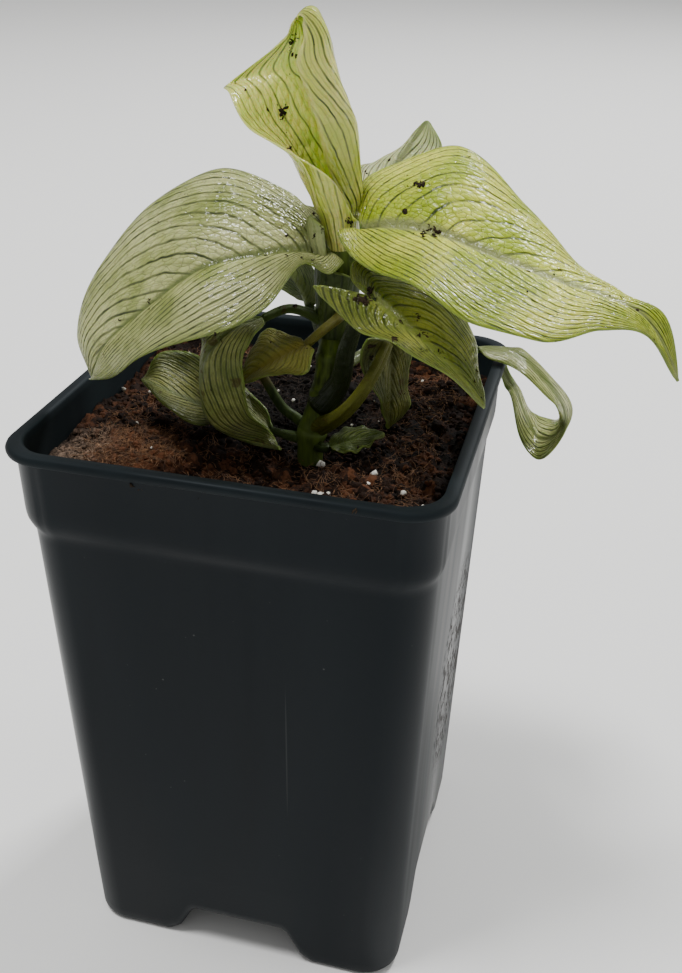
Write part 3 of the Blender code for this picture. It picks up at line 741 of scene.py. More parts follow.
@dataclass(frozen=True)
class PhotoCamera:
    """The photograph's camera, in millimetres from the pot's axis."""
    place: tuple = (76.1, -242.9, 266.5)
    azimuth: float = 13.93
    elevation: float = 29.09
    roll: float = 1.30
    focal: float = 1116.6      # in the photograph's pixels
    sensor: float = 36.0

    def axes(self) -> tuple[Vector, Vector, Vector]:
        """Work out the directions to the right, up and back of the image.

        Returns:
            The three directions.
        """
        a, e, r = (math.radians(v) for v in (self.azimuth, self.elevation, self.roll))
        back = Vector((math.sin(a) * math.cos(e), -math.cos(a) * math.cos(e), math.sin(e)))
        right = Vector((math.cos(a), math.sin(a), 0.0))
        up = back.cross(right)
        return right * math.cos(r) + up * math.sin(r), up * math.cos(r) - right * math.sin(r), back

    def set_up(self, yard: Yard) -> None:
        """Make the scene's camera."""
        data = bpy.data.cameras.new("photo_camera")
        data.sensor_width = self.sensor
        data.lens = self.focal * self.sensor / PHOTO_HEIGHT
        data.clip_start, data.clip_end = 0.01, 50.0
        camera = bpy.data.objects.new("photo_camera", data)
        turn = Matrix(self.axes()).transposed().to_4x4()
        camera.matrix_world = Matrix.Translation(yard.world(self.place)) @ turn
        bpy.context.scene.collection.objects.link(camera)
        bpy.context.scene.camera = camera

    def ray(self, x: float, y: float) -> Vector:
        """Find the direction of the sight line through a pixel."""
        right, up, back = self.axes()
        way = right * (x - PHOTO_WIDTH / 2) - up * (y - PHOTO_HEIGHT / 2) - back * self.focal
        return way.normalized()


@dataclass(frozen=True)
class PotPlastic(Finish):
    """Injection-moulded polypropylene, blue-black: a soft broad sheen, flow marks, dust and dry soil."""
    name: str = "moulded_polypropylene"
    base: str = "#06090c"
    worn: str = "#12171a"
    soil: str = "#20150d"
    dust: str = "#5d5f5c"
    chalk_and_sheen: str = "#1b2325"

    def skin(self, g: Graph, place: bpy.types.NodeSocket, yard: Yard) -> dict[str, object]:
        """Lay flow marks, chalk with painted sheen, dust, a scratch and a smear of soil over the moulded
        skin.

        Args:
            g: The material's graph.
            place: The place on the surface.
            yard: The frame, which gives the pot's axis.

        Returns:
            The shader's inputs by name.
        """
        # Flow marks about 12 mm wide run up the walls.
        flow = g.add("TexNoise", g.add("Mapping", place, Scale=(80.0, 80.0, 9.0)), Scale=1.0, Detail=3.0)
        worn = g.add("MapRange", flow, 0.35, 0.75, 0.0, 0.6)
        # The rim and the inside are chalky with old water and dust, and the paler inside wall is also painted
        # sheen. The change lies within the wall, whose faces are 8.9 and 10.3 mm outside a square that
        # reaches
        # 39.3 mm from the axis.
        axis = g.add("VectorMath:ABSOLUTE", g.add("VectorMath:ADD", place, tuple(-yard.offset)))
        wide = g.add("VectorMath:ADD", axis, (-39.3 * MM, -39.3 * MM, -1.0))
        wide = g.add("VectorMath:LENGTH", g.add("VectorMath:MAXIMUM", wide, (0.0, 0.0, 0.0)), output=1)
        height = g.add("SeparateXYZ", axis, output=2)
        inside = g.add("Math:MULTIPLY", g.add("MapRange", wide, 9.2 * MM, 9.8 * MM, 1.0, 0.0),
                       g.add("MapRange", height, 137.0 * MM, 139.0 * MM, 0.0, 1.0))
        chalk_and_sheen_share = g.add("Math:MAXIMUM", inside, g.add("MapRange", height, 149.4 * MM, 150.4 * MM, 0.0, 0.5))
        chalk_and_sheen = g.add("Math:MULTIPLY", chalk_and_sheen_share, g.add("MapRange", flow, 0.3, 0.7, 0.5, 1.0))
        # Dust sits in specks of 0.3 mm.
        speck = g.add("TexVoronoi", place, Scale=210.0, Randomness=1.0)
        speck = g.add("MapRange", speck, 0.03, 0.06, 1.0, 0.0)
        gate = g.add("MapRange", g.add("TexNoise", place, Scale=900.0, Detail=0.0), 0.55, 0.6, 0.0, 0.5)
        speck = g.add("Math:MULTIPLY", speck, gate)
        # A hair-thin scratch on the front wall.
        scratch = self._patch(g, place, yard, (15.1, -46.5, 77.0), (0.22, 6.0, 24.0))
        scratch = g.add("Math:MULTIPLY", scratch, 0.16)
        # Dried soil smeared on the right wall, in crumbs of 1 mm.
        smear = g.add("TexNoise", place, Scale=330.0, Detail=5.0, Roughness=0.7)
        smear = g.add("Math:MULTIPLY", g.add("MapRange", smear, 0.5, 0.56, 0.0, 1.0),
                      self._patch(g, place, yard, (47.0, 18.0, 62.0), (8.0, 26.0, 42.0)))
        colour = g.paint(self.base, (worn, self.worn), (chalk_and_sheen, self.chalk_and_sheen), (speck, self.dust),
                         (scratch, self.dust), (smear, self.soil))
        # Broad bands, 60 mm wide, where the mould's finish is more or less worn.
        band = g.add("TexNoise", g.add("Mapping", place, Scale=(17.0, 17.0, 4.0)), Scale=1.0, Detail=1.0)
        rough = g.add("Math:ADD", g.add("MapRange", flow, 0.3, 0.7, -0.05, 0.07),
                      g.add("MapRange", band, 0.35, 0.65, 0.3, 0.54))
        rough = g.add("Math:ADD", rough, g.add("Math:MULTIPLY", smear, 0.4))
        rough = g.add("Math:MULTIPLY_ADD", chalk_and_sheen_share, 0.35, rough)
        # The mould's skin is faintly pebbled, about 0.5 mm from bump to bump.
        pebbles = g.add("Math:MULTIPLY_ADD", smear, 3.0, g.add("TexNoise", place, Scale=1800.0, Detail=1.0))
        bump = g.add("Bump", Strength=0.12, Distance=0.1 * MM, Height=pebbles)
        return {"Base Color": colour, "Roughness": rough, "Normal": bump, "IOR": 1.49,
                "Specular IOR Level": 0.19, "Specular Tint": linear("#dae7f0")}

    @staticmethod
    def _patch(g: Graph, place: bpy.types.NodeSocket, yard: Yard, centre: tuple,
               reach: tuple) -> bpy.types.NodeSocket:
        """Fade from 1 inside an ellipsoid to 0 outside it; all lengths in millimetres."""
        shifted = g.add("VectorMath:ADD", place, tuple(-yard.world(centre)))
        scaled = g.add("VectorMath:MULTIPLY", shifted, tuple(1.0 / (r * MM) for r in reach))
        length = g.add("VectorMath:LENGTH", scaled, output=1)
        return g.add("MapRange:SMOOTHSTEP", length, 0.6, 1.0, 1.0, 0.0)


@dataclass(frozen=True)
class PottingMix(Finish):
    """Peat and coir: matt and crumbly, rusty where the coir is dry, near black round the stem with painted
    shade.
    """
    name: str = "peat_and_coir"
    dark: str = "#0b0705"
    brown: str = "#22140c"
    rust: str = "#54331f"
    # Grey of the dry corner, partly its matter's own colour and partly painted light.
    dry: str = "#7d6959"

    def skin(self, g: Graph, place: bpy.types.NodeSocket, yard: Yard) -> dict[str, object]:
        """Colour each crumb for itself, rusty on the coir, near black by the stem with painted shade, and
        grey in one corner with dry matter and painted light.

        Args:
            g: The material's graph.
            place: The place on the surface.
            yard: The frame, which gives the pot's axis.

        Returns:
            The shader's inputs by name.
        """
        # Crumbs differ from one another every 2.5 mm, and patches every 15 mm.
        grain = g.add("SeparateXYZ", g.add("TexVoronoi", place, Scale=400.0, output="Color"))
        patch = g.add("TexNoise", place, Scale=65.0, Detail=3.0)
        fine = g.add("TexNoise", place, Scale=1500.0, Detail=2.0)
        coir = g.around(place, yard, (-24.0, -32.0, 147.0), 9.0, 16.0, 0.34)
        # Painted shade: the soil is darkened round the foot of the stem, where the leaves shade it.
        coir = g.add("Math:SUBTRACT", coir, g.around(place, yard, SHADED_SOIL_CENTRE, 16.0, 38.0, 0.55))
        tone = g.add("Math:MULTIPLY_ADD", grain, 0.5, g.add("Math:ADD", patch, coir))
        tone = g.add("Math:MULTIPLY_ADD", fine, 0.5, tone)
        ramp = g.add("MapRange", tone, 0.65, 1.35, 0.0, 1.0)
        browner, rustier = (g.add("MapRange", ramp, low, low + 0.5, 0.0, 1.0) for low in (0.0, 0.5))
        # It is grey in the front left corner, partly with dried-out matter and partly with painted light
        # against the shadow of the pot's wall.
        dry = g.add("Math:MULTIPLY", g.around(place, yard, (-42.0, -33.0, 147.0), 5.0, 15.0),
                    g.add("MapRange", fine, 0.35, 0.65, 0.15, 0.85))
        colour = g.paint(self.dark, (browner, self.brown), (rustier, self.rust), (dry, self.dry))
        bump = g.add("Bump", Strength=0.8, Distance=0.5 * MM, Height=fine)
        return {"Base Color": colour, "Roughness": 0.9, "Normal": bump, "Specular IOR Level": 0.15}


@dataclass(frozen=True)
class MatteGrain(Finish):
    """Loose dry matter of one kind, coir fibre or perlite: matt with slight mottling."""
    colour: str
    shade: str
    scale: float = 900.0
    damp: str = ""             # its colour in the painted shade round the stem, where it differs

    def skin(self, g: Graph, place: bpy.types.NodeSocket, yard: Yard) -> dict[str, object]:
        """Mottle the matter, and darken it with painted shade round the stem.

        Args:
            g: The material's graph.
            place: The place on the surface.
            yard: The frame, which gives the pot's axis.

        Returns:
            The shader's inputs by name.
        """
        mottle = g.add("TexNoise", place, Scale=self.scale, Detail=3.0)
        coats = [(g.add("MapRange", mottle, 0.35, 0.65, 0.0, 1.0), self.shade)]
        # Painted shade: round the foot of the stem the matter takes its darker colour, as if shaded by the
        # leaves.
        if self.damp:
            coats.append((g.around(place, yard, SHADED_SOIL_CENTRE, 14.0, 36.0, 0.9), self.damp))
        bump = g.add("Bump", Strength=0.6, Distance=0.2 * MM, Height=mottle)
        return {"Base Color": g.paint(self.colour, *coats), "Normal": bump, "Roughness": 0.85}


@dataclass(frozen=True)
class StemSkin(Finish):
    """A fleshy green cane: dark and satiny low down, paler towards the crown, ringed at each leaf scar."""
    name: str = "fleshy_cane_skin"
    dark: str = "#2b350c"
    green: str = "#56681c"
    pale: str = "#5a6b32"

    def skin(self, g: Graph, place: bpy.types.NodeSocket, yard: Yard) -> dict[str, object]:
        """Streak the cane lengthwise and lighten its scars.

        Args:
            g: The material's graph.
            place: The place on the surface.
            yard: The frame, which a cane doesn't need.

        Returns:
            The shader's inputs by name.
        """
        # Lengthwise streaks about 1 mm wide.
        streak = g.add("TexNoise", g.add("Mapping", place, Scale=(900.0, 900.0, 90.0)), Scale=1.0, Detail=3.0)
        scar = g.add("Attribute", attribute_name=Layer.SCAR.value, output="Fac")
        colour = g.paint(self.dark, (g.add("MapRange", streak, 0.35, 0.7, 0.0, 1.0), self.green),
                         (scar, self.pale))
        bump = g.add("Bump", Strength=0.3, Distance=0.2 * MM, Height=streak)
        return {"Base Color": colour, "Roughness": 0.5, "Normal": bump, "Specular IOR Level": 0.15,
                "Subsurface Weight": 0.15, "Subsurface Radius": (0.8, 1.2, 0.3), "Subsurface Scale": MM}


@dataclass(frozen=True)
class Paper(Finish):
    """Matt backdrop paper: an even pale ground without gloss."""
    name: str = "matt_paper_floor"
    colour: str = "#f3f3f1"

    def skin(self, g: Graph, place: bpy.types.NodeSocket, yard: Yard) -> dict[str, object]:
        """Give the paper its colour and dull surface."""
        return {"Base Color": linear(self.colour), "Roughness": 0.9, "Specular IOR Level": 0.1}


@dataclass
class Pot:
    """The square nursery pot: one thin shell on four hollow feet, with a collar and a rolled rim."""
    height: float = 152.5
    rim_side: float = 103.0
    collar_side: float = 99.2
    shoulder_side: float = 96.2
    base_side: float = 88.0
    corner_radius: float = 10.3
    wall: float = 1.2
    collar_drop: float = 22.0
    rim_depth: float = 2.4
    foot_height: float = 10.5
    channel_half: tuple = (13.5, 17.5, 20.0)     # half width at the top, near the ground and on the ground
    foot_chamfer: float = 2.5
    drain_radius: float = 3.5
    drain_sides: int = 40
    corner_steps: int = 20
    side_steps: int = 76
    blend_height: float = 26.0                   # above this the rings of the wall are level
    crease: float = 0.22                         # depth of the crease beside each corner of the collar
    slack: float = 0.5                           # how far the thin walls are drawn in half way along

    def outline(self, side: np.ndarray | float, radius: float, share: float = 1.0) -> np.ndarray:
        """Lay points round a square with rounded corners.

        Args:
            side: Width of the square, one value or one for each point.
            radius: Radius of its corners.
            share: Scale of the whole outline.

        Returns:
            The points, in two columns.
        """
        points = []
        for corner in range(4):
            for step in range(self.corner_steps + 1):
                angle = math.pi / 2 * (corner + step / self.corner_steps)
                sign_x = 1.0 if corner in (0, 3) else -1.0
                sign_y = 1.0 if corner in (0, 1) else -1.0
                points.append((sign_x, sign_y, math.cos(angle), math.sin(angle)))
            turn = math.pi / 2 * corner
            for step in range(1, self.side_steps):
                t = 1.0 - 2.0 * step / self.side_steps
                points.append((t * math.cos(turn) - math.sin(turn), t * math.sin(turn) + math.cos(turn),
                               -math.sin(turn), math.cos(turn)))
        data = np.array(points)
        reach = np.asarray(side / 2 - radius)
        reach = reach[:, None] if reach.ndim else reach
        return (data[:, :2] * reach + data[:, 2:] * radius) * share

    def side_at(self, height: np.ndarray | float) -> np.ndarray | float:
        """Work out the outside width of the tapered body at a height."""
        taper = self.shoulder_side - self.base_side
        return self.base_side + taper * height / (self.height - self.collar_drop)

    def underside(self, x: np.ndarray, y: np.ndarray) -> np.ndarray:
        """Work out the height of the underside, with feet on the ground and a raised cross between them."""
        marks = (self.channel_half[0] - 1.0, self.channel_half[0] + 0.4, self.channel_half[1],
                 self.channel_half[2] + 0.6)
        levels = (self.foot_height, self.foot_height - 1.2, self.foot_chamfer * 0.9, 0.0)
        return np.maximum(*[np.interp(np.abs(v), marks, levels) for v in (x, y)])

    def rings(self) -> list[np.ndarray]:
        """Lay out the shell as rings: down the outside, under the floor, and up the inside.

        Returns:
            The rings of points.
        """
        collar_low = self.height - self.collar_drop
        rim_low = self.height - self.rim_depth
        # Each bend of the profile: its level, its width, and how its rings lie from those.
        bends = ((self.height, self.rim_side, ((0.0, -1.4), (-0.3, -0.5), (-0.9, 0.0))),
                 (rim_low, self.rim_side, ((1.0, 0.0), (0.4, -0.3), (0.1, -1.0))),
                 (rim_low, self.collar_side, ((0.0, 0.8), (-0.8, 0.5))),
                 (collar_low, self.collar_side,
                  ((8.0, 0.0), (6.0, -0.05), (4.4, -0.2), (3.2, -0.5), (2.2, -1.1))),
                 (collar_low, self.shoulder_side, ((1.2, 1.2), (0.4, 0.5), (-0.8, 0.05), (-2.0, -0.1))))
        high = [(level + rise, side + flare) for level, side, steps in bends for rise, flare in steps]
        high += [(z, self.side_at(z)) for z in np.linspace(collar_low - 8.0, self.blend_height, 9)]
        foot = self.outline(self.base_side - 2.6, self.corner_radius - 0.9)
        lift = self.underside(foot[:, 0], foot[:, 1])
        rings = []
        for z, side in high:
            points = self.outline(side, self.corner_radius - (self.rim_side - side) * 0.05)
            rings.append(self._level(points, z, collar_low, rim_low))
        for z in np.linspace(self.blend_height, 2.2, 11)[1:]:
            heights = z + lift * (1.0 - (z - 2.2) / (self.blend_height - 2.2))
            points = self.outline(self.side_at(heights), self.corner_radius - 0.75)
            rings.append(np.column_stack([points, heights]))
        for rise, inset in ((1.4, 0.25), (0.7, 0.9), (0.2, 1.8), (0.0, 2.6)):
            points = self.outline(self.base_side - inset, self.corner_radius - 0.85)
            rings.append(np.column_stack([points, rise + lift]))
        for share in np.linspace(0.98, 0.0, 34):
            points = foot * share
            rings.append(np.column_stack([points, self.underside(points[:, 0], points[:, 1])]))
        for share in np.linspace(0.0, 1.0, 14):
            points = self.outline(self.base_side - 4.0, self.corner_radius - self.wall, share)
            rings.append(np.column_stack([points, self.underside(points[:, 0], points[:, 1]) + self.wall]))
        for z in (self.blend_height + self.wall, 60.0, 100.0, collar_low, collar_low + 3.4, rim_low,
                  self.height - 0.5, self.height):
            side = self.side_at(z) if z <= collar_low else self.collar_side - 0.4
            side -= 2 * self.wall - (0.8 if z > self.height - 0.2 else 0.0)
            points = self.outline(side, self.corner_radius - self.wall)
            rings.append(np.column_stack([points, np.full(len(points), z)]))
        rings.append(rings[0])
        return rings

    def _level(self, points: np.ndarray, z: float, collar_low: float, rim_low: float) -> np.ndarray:
        """Give a level ring of the outside its creases and the slack of its walls.

        Args:
            points: The ring's points, in two columns.
            z: Its height.
            collar_low: Height of the collar's lower edge.
            rim_low: Height of the rim's lower edge.

        Returns:
            The points, in three columns.
        """
        straight = self.rim_side / 2 - self.corner_radius
        inner = np.min(np.abs(points), axis=1)
        away = np.sign(points) * (np.abs(points) == np.max(np.abs(points), axis=1, keepdims=True))
        drawn = np.zeros(len(points))
        if collar_low + 2.0 < z < rim_low - 0.5:
            drawn += self.crease * bell(inner - straight - 0.4, 0.7)
        if z < collar_low:
            middle = 1.0 - np.clip(inner / straight, 0.0, 1.0) ** 2
            rise = (z - self.blend_height) / (collar_low - self.blend_height)
            drawn += self.slack * middle * math.sin(math.pi * rise)
        return np.column_stack([points - away * drawn[:, None], np.full(len(points), z)])

    def build(self, yard: Yard) -> bpy.types.Object:
        """Make the pot with its drain holes.

        Args:
            yard: The frame that the mesh is made in.

        Returns:
            The finished piece.
        """
        rings = self.rings()
        pot = yard.piece("pot_shell", np.vstack(rings), ring_faces(len(rings), len(rings[0])))
        close_up(pot, merge=True)
        reach = (self.base_side + 2 * self.channel_half[0]) / 4 - 1.0
        for x, y in [(0.0, 0.0)] + [(sx * reach, sy * reach) for sx in (-1, 1) for sy in (-1, 1)]:
            self._drill(yard, pot, x, y, 0.0 if x else self.foot_height)
        return yard.hand_over(pot, PotPlastic().build(yard), "pot_plastic", "pot")

    def _drill(self, yard: Yard, pot: bpy.types.Object, x: float, y: float, z: float) -> None:
        """Cut one drain hole through the floor.

        Args:
            yard: The frame that the mesh is made in.
            pot: The pot's shell.
            x: Place to the right of the pot's axis.
            y: Place behind it.
            z: Height of the floor's underside there.
        """
        sides = self.drain_sides
        angles = np.linspace(0.0, 2 * math.pi, sides, endpoint=False)
        ring = np.array([x, y]) + self.drain_radius * np.column_stack([np.cos(angles), np.sin(angles)])
        points = np.vstack([np.column_stack([ring, np.full(sides, z + rise)]) for rise in (-3.0, 3.0)])
        faces = ring_faces(2, sides) + [range(sides), range(sides, 2 * sides)]
        drill = yard.piece("drain_drill", points, faces)
        close_up(drill, merge=True)
        modifier = pot.modifiers.new("Drain", "BOOLEAN")
        modifier.operation, modifier.solver, modifier.object = "DIFFERENCE", "EXACT", drill
        settle(pot)
        bpy.data.objects.remove(drill)


def settle(piece: bpy.types.Object) -> None:
    """Replace a piece's mesh by its evaluated one and drop its modifiers."""
    bpy.context.view_layer.update()
    mesh = bpy.data.meshes.new_from_object(piece.evaluated_get(bpy.context.evaluated_depsgraph_get()))
    piece.modifiers.clear()
    piece.data = mesh


@dataclass
class Strewn:
    """Loose matter strewn over a surface by Geometry Nodes: crumbs, or curled fibres if it has a length."""
    name: str
    density: float         # pieces on a square centimetre
    smallest: float        # radius
    largest: float
    seed: int
    length: float = 0.0    # of a fibre
    lift: float = 0.0
    clumping: float = 0.0  # above 0, pieces gather in patches
    steps: int = 1         # subdivisions of a crumb

    def _tree(self, material: bpy.types.Material) -> tuple[bpy.types.NodeTree, dict[str, str]]:
        """Build the node tree.

        Args:
            material: What the pieces are made of.

        Returns:
            The tree, and the identifiers of its inputs by name.
        """
        tree = bpy.data.node_groups.new(self.name, "GeometryNodeTree")
        tree.interface.new_socket("Surface", in_out="INPUT", socket_type="NodeSocketGeometry")
        known = {}
        for title in ("Density", "Smallest", "Largest", "Length", "Lift", "Seed"):
            kind = "NodeSocketInt" if title == "Seed" else "NodeSocketFloat"
            known[title] = tree.interface.new_socket(title, in_out="INPUT", socket_type=kind).identifier
        tree.interface.new_socket("Pieces", in_out="OUTPUT", socket_type="NodeSocketGeometry")
        g = Graph(tree)
        given = tree.nodes.new("NodeGroupInput").outputs
        patch = g.add("TexNoise", Scale=120.0, Detail=2.0)
        share = g.add("MapRange", patch, 0.3, 0.7, 1.0 - self.clumping, 1.0 + self.clumping)
        density = g.add("Math:MULTIPLY", given["Density"], share)
        points = g.add("GeometryNodeDistributePointsOnFaces", given["Surface"], Density=density,
                       Seed=given["Seed"])
        if self.length:
            shape, grown = self._fibre(g, given)
            least, most, waves, bend = (-0.5, -0.5, 0.0), (0.5, 0.5, FULL_TURN), 260.0, self.length * 0.9
        else:
            shape, grown = self._crumb(g, given)
            least, most, waves, bend = (0.0, 0.0, 0.0), (FULL_TURN,) * 3, 700.0, self.largest * 1.1
        turned = g.add("FunctionNodeRandomValue:FLOAT_VECTOR", least, most, Seed=given["Seed"])
        placed = g.add("GeometryNodeInstanceOnPoints", points, Instance=shape, Rotation=turned, Scale=grown)
        loose = g.add("GeometryNodeRealizeInstances", placed)
        wild = g.add("VectorMath:ADD", g.add("TexNoise", Scale=waves, Detail=2.0, output=1), (-0.5,) * 3)
        wild = g.add("VectorMath:SCALE", wild, Scale=bend * MM)
        risen = g.add("VectorMath:ADD", wild, g.add("CombineXYZ", 0.0, 0.0, given["Lift"]))
        bent = g.add("GeometryNodeSetPosition", loose, Offset=risen)
        if self.length:
            profile = g.add("GeometryNodeCurvePrimitiveCircle", Resolution=4, Radius=given["Smallest"])
            bent = g.add("GeometryNodeCurveToMesh", bent, profile, inputs={"Fill Caps": True})
        else:
            bent = g.add("GeometryNodeSetShadeSmooth", bent)
        whole = g.add("GeometryNodeRealizeInstances", bent)
        g.add("NodeGroupOutput", g.add("GeometryNodeSetMaterial", whole, Material=material))
        return tree, known

    @staticmethod
    def _fibre(g: Graph, given: bpy.types.NodeOutputs) -> tuple[bpy.types.NodeSocket, bpy.types.NodeSocket]:
        """Make a straight fibre of nine points along X, and its random stretch.

        Args:
            g: The tree's graph.
            given: The tree's inputs.

        Returns:
            The fibre and the stretch.
        """
        half = g.add("Math:MULTIPLY", given["Length"], 0.5)
        low = g.add("CombineXYZ", g.add("Math:MULTIPLY", half, -1.0))
        line = g.add("GeometryNodeCurvePrimitiveLine", low, g.add("CombineXYZ", half))
        line = g.add("GeometryNodeResampleCurve", line, Count=9)
        return line, g.add("FunctionNodeRandomValue:FLOAT", inputs={2: 0.35, 3: 1.3}, output=1)

    def _crumb(self, g: Graph, given: bpy.types.NodeOutputs) -> tuple[bpy.types.NodeSocket, ...]:
        """Make a round crumb of radius 1, and its random size; small ones are the most common.

        Args:
            g: The tree's graph.
            given: The tree's inputs.

        Returns:
            The crumb and the size.
        """
        chance = g.add("FunctionNodeRandomValue:FLOAT", inputs={2: 0.0, 3: 1.0}, Seed=given["Seed"], output=1)
        cubed = g.add("Math:POWER", chance, 3.0)
        size = g.add("MapRange", cubed, 0.0, 1.0, given["Smallest"], given["Largest"])
        return g.add("GeometryNodeMeshIcoSphere", 1.0, self.steps), size

    def build(self, surface: bpy.types.Object, material: bpy.types.Material) -> bpy.types.Object:
        """Strew the matter over a surface.

        Args:
            surface: The object that it lies on.
            material: What it is made of.

        Returns:
            The strewn matter as a plain mesh.
        """
        piece = bpy.data.objects.new(self.name, surface.data.copy())
        bpy.context.scene.collection.objects.link(piece)
        modifier = piece.modifiers.new("Strewn", "NODES")
        modifier.node_group, known = self._tree(material)
        sizes = {"Density": self.density * 1e4, "Smallest": self.smallest * MM, "Largest": self.largest * MM,
                 "Length": self.length * MM, "Lift": self.lift * MM, "Seed": self.seed}
        for title, value in sizes.items():
            modifier[known[title]] = value
        settle(piece)
        return piece


@dataclass
class Soil:
    """The soil: a filling with a crumbly top, clumps of coir, and loose matter strewn over it."""
    pot: Pot
    level: float = 143.2
    relief: float = 4.6
    clearance: float = 0.3
    skirt: float = 5.0
    top_rings: int = 110
    lumps: tuple = (
        # place in X and Y, radius
        (-25, -28, 7.5), (-20, -36, 7.5), (-34, -24, 6.0), (-17, -33, 5.0), (-32, -36, 4.4), (-26, -13, 4.6),
        (-2, -34, 3.6), (31, -35, 3.6), (38, -12, 4.2))
    tangles: tuple = (
        # name, place in X and Y, reach, fibres on a square centimetre, length of a fibre
        ("coir_clump_fibres", -24.0, -32.0, 10.5, 190.0, 3.4),
        ("dry_corner_fibres", -39.0, -33.0, 8.5, 110.0, 3.0))

    def broad_height(self, x: float, y: float) -> float:
        """Work out the height of the surface before clumps and crumbs."""
        place = Vector((x * 0.055, y * 0.055, 3.7))
        waves = 0.75 * noise.noise(place) + 0.35 * noise.noise(place * 3.4)
        mound = 2.6 * math.exp(-((x + 26) ** 2 + (y + 26) ** 2) / 320.0)
        dip = 0.8 * math.exp(-((x - 14) ** 2 + (y + 14) ** 2) / 260.0)
        return self.level + self.relief * waves + mound - dip

    def height(self, x: float, y: float) -> float:
        """Work out the height of the surface with its clumps and crumbs.

        Args:
            x: Place to the right of the pot's axis.
            y: Place behind it.

        Returns:
            The height.
        """
        z = self.broad_height(x, y)
        for cx, cy, size in self.lumps:
            wobble = 1.0 + 0.3 * noise.noise(Vector((x * 0.25, y * 0.25, cx)))
            inside = 1.0 - ((x - cx) ** 2 + (y - cy) ** 2) / (size * wobble) ** 2
            if inside > 0.0:
                z = max(z, self.broad_height(cx, cy) - 0.2 * size + 0.75 * size * math.sqrt(inside))
        coarse = noise.voronoi(Vector((x * 0.3, y * 0.3, z * 0.3)))[0][0]
        fine = noise.voronoi(Vector((x * 0.75, y * 0.75, z * 0.5 + 9.0)))[0][0]
        rough = noise.fractal(Vector((x * 0.5, y * 0.5, 2.0)), 1.0, 2.0, 4)
        return z + 0.8 * (0.45 - coarse) + 0.8 * (0.4 - fine) + 0.9 * rough

    def build(self, yard: Yard) -> tuple[bpy.types.Object, bpy.types.Object]:
        """Make the soil and everything that lies loose on it.

        Args:
            yard: The frame that the meshes are made in.

        Returns:
            The soil's top alone, for placing things on it, and the whole filling.
        """
        pot = self.pot
        radius = pot.corner_radius - pot.wall - self.clearance
        inner = pot.outline(pot.collar_side - 0.2 - 2 * pot.wall - 2 * self.clearance, radius)
        top = []
        for share in np.sqrt(np.linspace(1.0, 0.0, self.top_rings)):
            top.append(np.array([(x, y, self.height(x, y)) for x, y in inner * share]))
        surface = yard.piece("soil_surface", np.vstack(top), ring_faces(len(top), len(inner)))
        close_up(surface, merge=True)
        # Loose matter is strewn on copies of the top without its outer rings, clear of the pot's walls.
        middle = [yard.piece(f"soil_within_{start}", np.vstack(top[start:]),
                             ring_faces(len(top) - start, len(inner))) for start in (8, 30)]
        patches = [self._patch(yard, top[18:], *tangle[1:4]) for tangle in self.tangles]
        low = []
        for share in np.linspace(0.0, 1.0, 8):
            points = pot.outline(pot.base_side - 4.0 - 2 * self.clearance, radius, share)
            floor = pot.underside(points[:, 0], points[:, 1]) + pot.wall + self.clearance
            low.append(np.column_stack([points, floor]))
        for z in (pot.blend_height, pot.height - pot.collar_drop):
            points = pot.outline(pot.side_at(z) - 2 * pot.wall - 2 * self.clearance, radius)
            low.append(np.column_stack([points, np.full(len(points), z)]))
        low.append(np.column_stack([inner, np.full(len(inner), self.level - self.skirt)]))
        rings = low + top
        bed = yard.piece("soil_bed", np.vstack(rings), ring_faces(len(rings), len(inner)))
        close_up(bed, merge=True)
        mix = PottingMix().build(yard)
        yard.hand_over(bed, mix, "soil", "soil")
        # The fibres turn near black round the stem with painted shade.
        fibre = MatteGrain("coir_fibre", "#8a6240", "#2b190e", damp="#150d08").build(yard)
        perlite = MatteGrain("expanded_perlite", "#e6e3da", "#bdb8aa", 1400.0).build(yard)
        made = [Strewn("peat_crumbs", 64.0, 0.2, 1.15, 5, clumping=0.7).build(middle[0], mix),
                Strewn("peat_clods", 1.6, 1.0, 2.6, 31, clumping=0.6, steps=3).build(middle[1], mix),
                Strewn("coir_fibres", 32.0, 0.055, 0.055, 8, length=5.0, lift=0.5,
                       clumping=0.2).build(middle[1], fibre),
                Strewn("perlite_grains", 0.22, 0.25, 0.8, 17, lift=0.4).build(middle[0], perlite)]
        dusty = MatteGrain("dry_coir_fibre", "#a58a70", "#4a3526").build(yard)
        for patch, (name, _, _, _, density, length), matter in zip(patches, self.tangles, (fibre, dusty)):
            tangle = Strewn(name, density, 0.05, 0.05, 12, length=length, lift=0.45, clumping=0.3)
            made.append(tangle.build(patch, matter))
        for piece in middle + patches:
            bpy.data.objects.remove(piece)
        for piece in made:
            yard.hand_over(piece, None, "soil")
        return surface, bed

    @staticmethod
    def _patch(yard: Yard, rows: list[np.ndarray], x: float, y: float, reach: float) -> bpy.types.Object:
        """Cut a round patch out of rows of the soil's top.

        Args:
            yard: The frame that the mesh is made in.
            rows: Rings of the soil's top.
            x: The patch's place to the right of the pot's axis.
            y: Its place behind it.
            reach: Its radius.

        Returns:
            The patch.
        """
        points = np.vstack(rows)
        near = np.hypot(points[:, 0] - x, points[:, 1] - y) < reach
        faces = [face for face in ring_faces(len(rows), len(rows[0])) if near[list(face)].all()]
        return yard.piece("soil_patch", points, faces)


